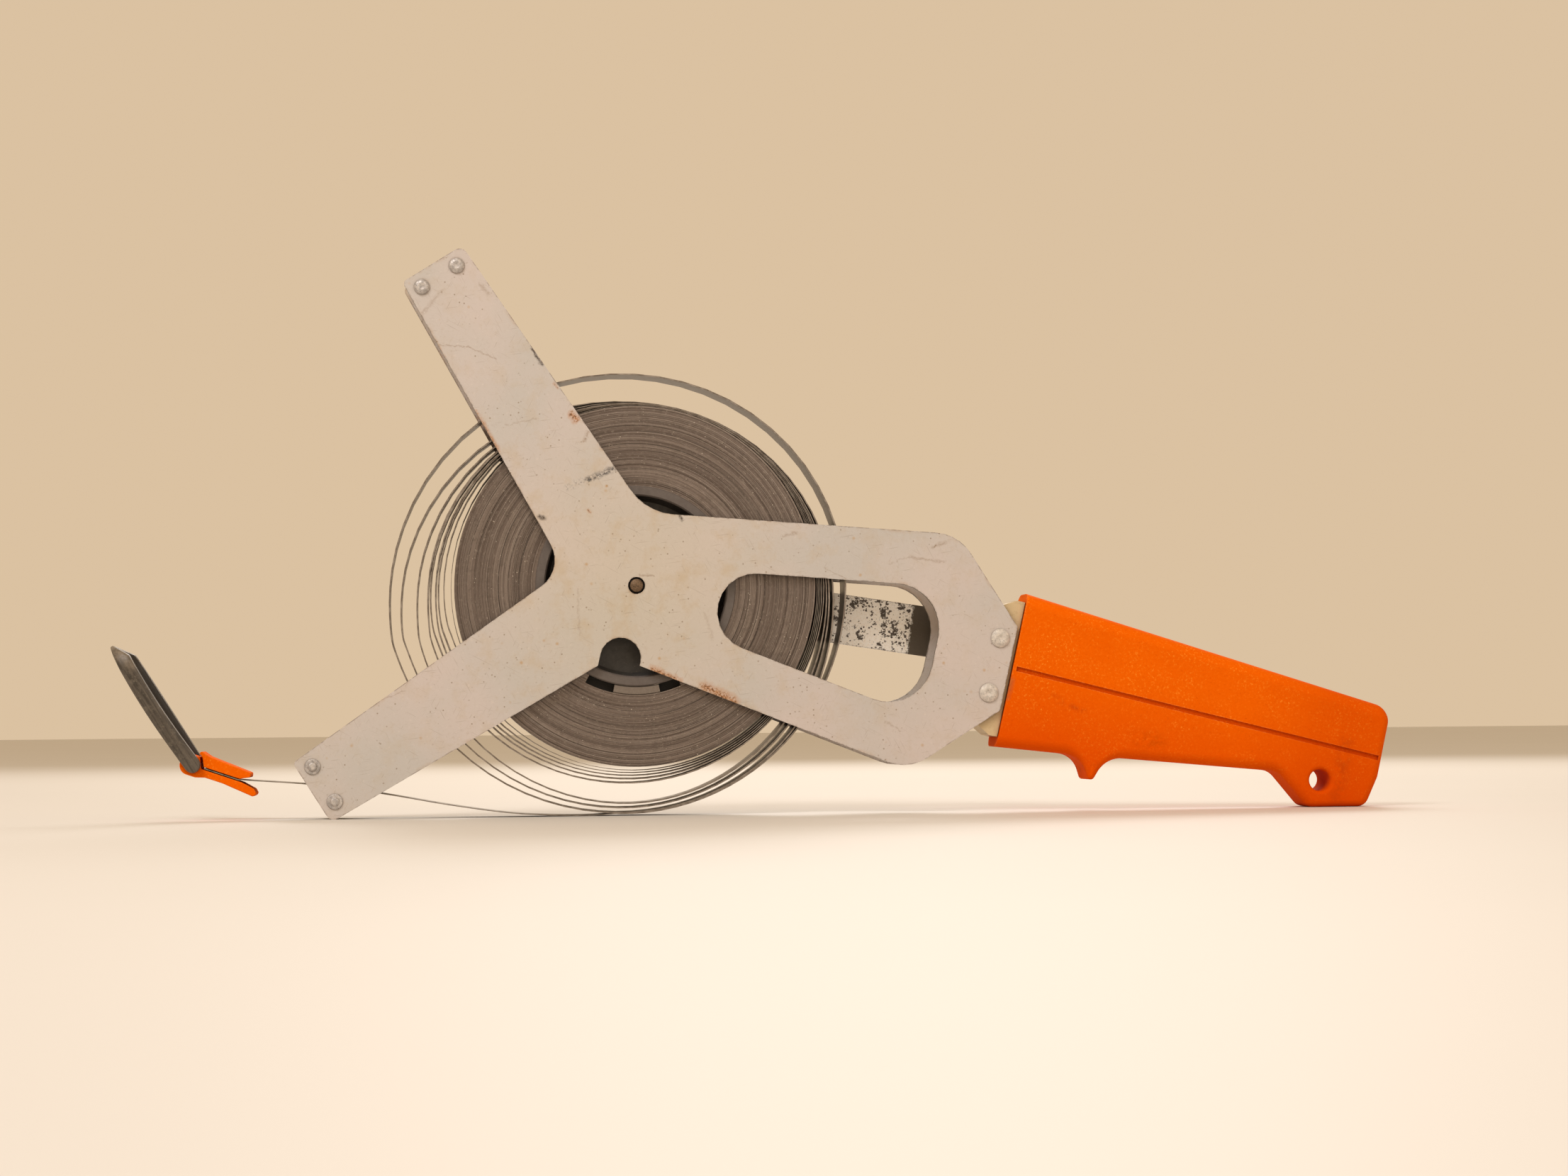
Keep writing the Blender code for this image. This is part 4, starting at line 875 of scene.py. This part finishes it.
def make_grip(looks):
    """Moulded sleeve with a finger spur, a foot, a parting groove and a hanging hole."""
    low, high = 0.25, FRAME_WIDTH - 0.25
    mouth, end = 137.9, 277.9
    heel_u, toe_u, toe_v = 254.6, 275.5, -20.4
    heel_v = toe_v - (toe_u - heel_u) * tan(radians(HANDLE_DROP))
    corners = [
        (mouth, -28.1, 0.0), (168.9, -24.6, 9.0), (174.3, -34.4, 1.4), (178.2, -23.2, 11.0),
        (241.2, -14.8, 7.0), (heel_u, heel_v, 4.5), (toe_u, toe_v, 4.5), (end, -9.0, 6.0),
        (end, 16.4, 6.0), (mouth, 28.0, 0.0)]
    rounding = [4.0, 2.2, 2.2, 4.0, 3.4, 2.6, 3.0, 3.0, 5.0, 0.0]
    grip = solid("handle_grip_detailed", rounded_slab(corners, rounding, low, high), HANDLE,
                 looks["grip"])
    open_end, deep_end, wall = mouth - 3.9, 178.3, 2.2
    inner = rounded([(open_end, -24.7, 0.0), (deep_end, -19.9, 4.0), (deep_end, 20.7, 4.0),
                     (open_end, 24.7, 0.0)])
    tools = [solid("pocket", prism(inner, low + wall, high - wall), HANDLE, None)]
    hole_u, hole_v, hole_r, lip, steps = 256.7, -14.8, 3.85, 1.7, 7
    arc = [(hole_r + lip * (1.0 - sin(pi * k / (2 * steps))),
            lip * (1.0 - cos(pi * k / (2 * steps)))) for k in range(steps + 1)]
    profile = mirrored([(0.0, low - 1.0), (hole_r + lip, low - 1.0)]
                       + [(r, low + y) for r, y in arc])
    tools.append(solid("hole", turned(profile, 48, closed=False),
                       axes((hole_u, 0.0, hole_v), 0.0, HANDLE), None))
    half, depth = 0.85, 1.1
    (start_u, start_v), (stop_u, stop_v) = (139.2, 0.6), (276.2, -2.4)
    line = [Vector((start_u, start_v - half)), Vector((stop_u, stop_v - half)),
            Vector((stop_u, stop_v + half)), Vector((start_u, start_v + half))]
    for name, y_low, y_high in (("front", -1.0, low + depth), ("rear", high - depth, high + 1.0)):
        tools.append(solid(f"groove_{name}", prism(line, y_low, y_high), HANDLE, None))
    cut(grip, tools)
    even = grip.modifiers.new("even_normals", "WEIGHTED_NORMAL")
    even.keep_sharp = True
    hand_over(grip, "frame", "handle_grip")


def make_hub(looks):
    """Boss, thin web and rim, turned in one."""
    low, web = 2.6, 8.5
    bore, boss, rim_in = 3.0, 8.0, 32.0
    profile = mirrored([
        (bore, low), (boss - 0.4, low), (boss, low + 0.4), (boss, web - 1.0), (boss + 1.0, web),
        (rim_in - 1.4, web), (rim_in - 0.2, web - 1.2), (rim_in, low + 0.5), (rim_in + 0.5, low),
        (RIM_R - 0.4, low), (RIM_R, low + 0.4)])
    piece("reel_hub", turned(profile, 96), REEL, looks["hub"], "reel")


def winding(r_in, r_out, turns, seed, drift):
    """Profile across wound tape: each turn's edge is a little sunk, and a few are deeper."""
    deeper_share = 0.10
    chance = random.Random(seed)
    front = []
    step = (r_out - r_in) / turns
    for k in range(turns):
        start, end = r_in + k * step, r_in + (k + 1) * step
        sunk = chance.uniform(0.0, drift)
        if chance.random() < deeper_share:
            sunk += drift
        front += [(start, TAPE_LOW + sunk), (end, TAPE_LOW + sunk)]
    return mirrored(front)


def make_pack(looks):
    profile = winding(PACK_IN_R, PACK_OUT_R, turns=66, seed=11, drift=0.22)
    piece("tape_pack", turned(profile, 120), REEL, looks["wound"], "reel")


def arc_shape(profile, start, end, steps):
    """Part of a ring between two angles in degrees; profile is (radius, y), closed."""
    rings = []
    for k in range(steps + 1):
        angle = radians(start + (end - start) * k / steps)
        rings.append([(r * cos(angle), y, r * sin(angle)) for r, y in profile])
    return tube(rings)


def make_first_turns(looks):
    """The innermost turns, open at the hub's lowest point where a clip holds the tape's end."""
    lowest = CRANK_DROP - 90.0
    clip_half, slot_half = 12.5, 12.8       # degrees
    before, after = 28.0, 24.0              # degrees from the clip's middle to the turns' ends
    inner, outer = FIRST_TURNS_R, PACK_IN_R
    profile = winding(inner, outer, turns=8, seed=5, drift=0.30)
    turns = arc_shape(profile, lowest + after, lowest + 360.0 - before, 90)
    piece("tape_first_turns", turns, REEL, looks["wound"], "reel")
    floor_low, floor_high = TAPE_LOW + 3.5, TAPE_LOW + 9.5
    floor = [(inner, floor_low), (outer, floor_low), (outer, floor_high), (inner, floor_high)]
    for side_name, start, end in (("left", -before, -slot_half), ("right", slot_half, after)):
        shape = arc_shape(floor, lowest + start, lowest + end, 10)
        # painted shade: these slot floors are near black
        hand_over(solid(f"anchor_slot_floor_{side_name}", shape, REEL, looks["dark"]), "reel")
    clip = [(inner, TAPE_LOW + 0.4), (inner + 0.38, TAPE_LOW), (outer - 0.4, TAPE_LOW),
            (outer, TAPE_LOW + 0.4), (outer, TAPE_LOW + TAPE_WIDE),
            (inner, TAPE_LOW + TAPE_WIDE)]
    piece("tape_anchor_clip", arc_shape(clip, lowest - clip_half, lowest + clip_half, 16), REEL,
          looks["clip"], "reel")


LOOSE_ANGLES = (-95.0, -44.0, 0.0, 90.0, 180.0, 202.0)
LOOSE_RADII = (                 # each slack turn's distance from the axle at those angles
    (80.5, 76.5, 74.8, 75.2, 86.2, 86.9),
    (80.2, 75.6, 70.2, 65.4, 81.9, 82.9),
    (78.5, 73.4, 68.8, 65.1, 76.5, 78.4),
    (76.9, 71.7, 67.9, 64.9, 72.9, 74.1),
    (69.7, 67.4, 67.0, 64.8, 72.1, 72.0),
    (68.3, 66.8, 66.3, 64.7, 70.3, 70.5),
    (67.1, 66.2, 65.7, 64.6, 69.4, 68.9),
    (66.1, 65.5, 65.1, 64.5, 67.5, 66.7),
    (65.2, 64.8, 64.6, 64.2, 65.0, 64.9))
THIN, THICKER = 0.16, 0.36      # of the slack tape at the pack, and how much more far from it
THICKENS_FROM = 65.6            # from the axle
THICKENS_OVER = 3.0
TAIL = ((-135.9, -67.1), (-116.2, -68.6), (-100.0, -70.6), (-84.4, -73.1), (-65.8, -76.5),
        (-46.8, -79.3), (-32.6, -80.4), (-18.0, -80.7))
SWAYS = ((0.22, 83.0), (0.16, 31.0))    # waves in Y along the slack: height and slowness
IN_JAWS = (4.4, 8.0, 12.0, 16.6)        # the lead's first points, from the clamp's pin
LEAD_THICK = 0.3


def make_slack_tape(looks):
    """Slack outer turns as one spiral, and the tail that runs out between the rollers."""
    knots = []
    for turn, radii in enumerate(LOOSE_RADII):
        for angle, radius in zip(LOOSE_ANGLES, radii):
            knots.append(Vector((angle + 360.0 * turn, radius)))
    path, thick, wander = [], [], []
    for angle, radius in smooth_path(knots, 14):
        way = radians(angle)
        path.append(Vector((radius * cos(way), radius * sin(way))))
        away = min(1.0, max(0.0, (radius - THICKENS_FROM) / THICKENS_OVER))
        thick.append(THIN + THICKER * away)
        wander.append(sum(far * sin(angle / slow) for far, slow in SWAYS))
    piece("tape_loose_turns", ribbon(path, thick, wander), LEVEL, looks["tape"], "frame")
    tail = smooth_path([Vector(point) for point in TAIL] + [path[0]], 10)
    axle = Vector(AXLE)
    in_jaws = [(CLAMP @ (Vector((s, 0.0, 0.0)) * MM)) / MM - axle for s in IN_JAWS]
    run = [Vector((p.x, p.z)) for p in in_jaws] + tail
    shape = ribbon(run, [LEAD_THICK] * len(run), [wander[0]] * len(run))
    lead = solid("tape_lead_detailed", shape, LEVEL, looks["tape"])
    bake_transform(lead)
    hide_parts("tape_lead", "tape_tail")


def make_axle_parts(looks):
    """The axle with its domed front end, three washers and the nut that holds the crank."""
    nut_low, nut_high = 23.1, 27.1
    end = nut_high + 1.2
    axle = [(0.0, -0.9), (0.8, -0.86), (1.5, -0.7), (2.1, -0.4), (2.5, 0.0), (2.7, 0.5),
            (2.7, end - 0.6), (2.2, end), (0.0, end)]
    piece("axle", turned(axle, 48, closed=False), REEL, looks["steel"], "reel")
    for name, radius, low, high, look in (
            ("hub_washer_front", 7.0, 1.8, 2.3, "nylon"),
            ("hub_washer_rear", 7.0, 16.7, 17.2, "nylon"),
            ("crank_washer", 6.0, 19.3, 20.5, "steel")):
        soft = 0.12
        profile = mirrored([(3.0, low), (radius - soft, low), (radius, low + soft)], low + high)
        piece(name, turned(profile, 48), REEL, looks[look], "reel")
    nut_r, flat_r = 5.8, 5.1
    nut = solid("crank_nut_detailed", prism(polygon(nut_r, 6), nut_low, nut_high), REEL,
                looks["rivet"])
    both = nut_low + nut_high
    corner = [(nut_r, nut_low + 0.5), (flat_r, nut_low - 0.01), (7.5, nut_low - 0.01)]
    chamfer = turned(mirrored(corner, both), 48)
    bore = turned(mirrored([(0.0, nut_low - 1.0), (3.0, nut_low - 1.0)], both), 32, closed=False)
    cut(nut, [solid("nut_chamfer", chamfer, REEL, None), solid("nut_bore", bore, REEL, None)])
    hand_over(nut, "reel", "crank_nut")


def make_knob(looks):
    """Folding pin, the spindle that turns on it, and the knob that spins on the spindle."""
    pivot = axes((CRANK_REACH, FOLD_PIN_Y, 0.0), 0.0, REEL)
    sideways = pivot @ Y_TO_Z
    reach, head_r, head = 7.5, 2.5, 0.9
    pin = mirrored([(0.0, -reach - head), (head_r * 0.7, -reach - head),
                    (head_r, -reach - head * 0.5), (head_r, -reach), (1.5, -reach)], 0.0)
    piece("crank_fold_pin", turned(pin, 36, closed=False), sideways, looks["rivet"], "reel")
    eye = rounded([(-3.9, -4.0, 3.2), (3.9, -4.0, 3.2), (3.9, 4.0, 0.6), (-3.9, 4.0, 0.6)])
    block = solid("knob_spindle_detailed", prism(eye, -4.9, 4.9), sideways, looks["rivet"])
    start, end = 4.6, 30.1
    post = [(0.0, 3.0), (2.4, 3.0), (2.4, end + 0.3), (3.8, end + 0.3), (3.8, end + 0.9),
            (3.3, end + 1.5), (2.0, end + 1.8), (0.0, end + 1.8)]
    rod = solid("knob_post", turned(post, 40, closed=False), pivot, looks["rivet"])
    bore = turned(mirrored([(0.0, -8.0), (1.8, -8.0)], 0.0), 24, closed=False)
    cut(block, [solid("spindle_bore", bore, sideways, None)], added=[rod])
    hand_over(block, "knob_mount", "knob_spindle")
    profile = [(2.7, start), (5.0, start), (5.5, start + 0.4), (5.9, start + 1.4),
               (6.15, start + 3.5), (6.5, start + 8.0), (6.9, start + 13.0), (7.1, start + 17.0),
               (7.05, start + 20.0), (6.7, end - 2.6), (6.2, end - 1.0), (5.5, end - 0.2),
               (4.9, end), (2.7, end)]
    piece("crank_knob", turned(profile, 72), pivot, looks["knob"], "knob")


def make_clamp(looks):
    """Two jaws on the tape's end, their rivet, and the pin that carries the ring."""
    jaw_half, gap = 7.0, 0.45
    lower = rounded([(-4.2, -3.9, 3.4), (2.4, -3.9, 2.0), (5.6, -2.9, 2.0), (12.0, -2.9, 4.0),
                     (23.4, -4.0, 1.0), (24.2, -2.6, 0.8), (22.8, -1.3, 0.8), (18.2, -gap, 2.0),
                     (3.4, -gap, 0.4), (1.7, 3.2, 0.5), (-4.2, 3.2, 3.0)])
    upper = rounded([(4.0, gap, 0.4), (17.0, gap, 2.0), (20.3, 2.1, 0.5), (20.0, 3.6, 0.8),
                     (9.4, 4.2, 3.0), (4.6, 4.5, 3.0), (1.4, 5.5, 0.7), (1.1, 4.3, 0.4),
                     (2.5, 3.5, 0.3)])
    for name, outline in (("clamp_lower_jaw", lower), ("clamp_upper_jaw", upper)):
        shape = prism(outline, MIDDLE - jaw_half, MIDDLE + jaw_half)
        soften(piece(name, shape, CLAMP, looks["clamp"], "tape_end"), 0.35)
    foot, top, along = -2.7, 4.0, 10.0
    rivet = mirrored([(0.0, foot), (1.9, foot), (2.0, foot + 0.1), (1.2, foot + 0.9)], foot + top)
    placement = axes((along, MIDDLE, 0.0), 0.0, CLAMP) @ Y_TO_Z
    piece("clamp_rivet", turned(rivet, 36, closed=False), placement, looks["rivet"], "tape_end")
    front = MIDDLE - RING_OUT_HALF + 0.2
    pin = mirrored([(0.0, front), (0.8, front), (1.0, front + 0.2)])
    piece("ring_pin", turned(pin, 32, closed=False), CLAMP, looks["steel"], "tape_end")


def ring_thickness(d):
    """How far the loop stands to each side of its middle plane, d up from its pin."""
    barrel = RING_BARREL_R
    if d < 0.0:
        share = sqrt(max(0.02, 1.0 - (d / barrel) ** 2))
        return barrel * share, (barrel - 0.4) * share
    share = d / RING_LENGTH
    swell = sin(pi * share)
    bevel = max(0.0, d - RING_BEVEL_FROM) * RING_BEVEL_SLOPE
    return barrel - 0.5 * swell - bevel, barrel - 0.4 + 0.3 * swell - 0.4 * share ** 4


def ring_section(here, side):
    """The loop's softly squared section at a point; it is rounder on the pin's barrels."""
    around = 24
    squared, rounder, barrel_ends = 0.5, 0.28, 6.0
    power = squared - rounder * (1.0 - min(1.0, max(0.0, here.x) / barrel_ends))
    section = []
    for k in range(around):
        c, s = cos(2 * pi * k / around), sin(2 * pi * k / around)
        point = here + side * copysign(abs(c) ** power, c) * RING_BAND / 2
        up = copysign(abs(s) ** power, s)
        right, left = ring_thickness(point.x)
        lean = RING_LEAN * sin(pi * max(0.0, point.x) / RING_LENGTH)
        height = (left - right + up * (left + right)) / 2 - lean * point.y / RING_OUT_HALF
        section.append((point.x, MIDDLE + point.y, height))
    return section


def make_ring(looks):
    """U-shaped finger loop with round barrels on its pin."""
    centre_half = RING_OUT_HALF - RING_BAND / 2
    bow = RING_LENGTH - RING_OUT_HALF
    side_steps, bow_steps = 12, 32
    barrel_run = [-2.97, -2.85, -2.6, -2.2, -1.6, -0.8, 0.0, 1.5, 3.0]
    sides = barrel_run + [bow * k / side_steps for k in range(2, side_steps)]
    path = [Vector((d, -centre_half)) for d in sides]
    for k in range(bow_steps + 1):
        turn = pi * k / bow_steps
        path.append(Vector((bow + centre_half * sin(turn), -centre_half * cos(turn))))
    path += [Vector((d, centre_half)) for d in reversed(sides)]
    sections = [ring_section(here, side) for here, side in with_sides(path)]
    piece("end_ring", tube(sections), RING, looks["ring"], "finger_ring")


def main():
    make_camera()
    make_lights()
    make_floor()
    looks = {
        "plate": plate_paint(), "cream": cream_plastic(), "grip": grip_plastic(),
        "clamp": orange_plastic("clamp_plastic").mat,
        "rivet": rivet_metal("rivet_aluminium", (0.62, 0.585, 0.56), (0.36, 0.34, 0.33), 0.6),
        "pale": rivet_metal("rivet_painted", (0.68, 0.63, 0.57), (0.50, 0.47, 0.43), 0.15),
        "steel": dark_steel(), "wound": wound_edges(), "tape": tape_flat(),
        "clip": clip_steel(), "hub": hub_plastic(), "dark": slot_shade(),
        "nickel": crank_nickel(), "knob": knob_plastic(), "ring": ring_plastic(),
        "nylon": roller_nylon()}
    dress_frame(looks)
    make_fasteners(looks)
    make_grip(looks)
    make_hub(looks)
    make_pack(looks)
    make_first_turns(looks)
    make_slack_tape(looks)
    make_axle_parts(looks)
    make_knob(looks)
    make_clamp(looks)
    make_ring(looks)


main()
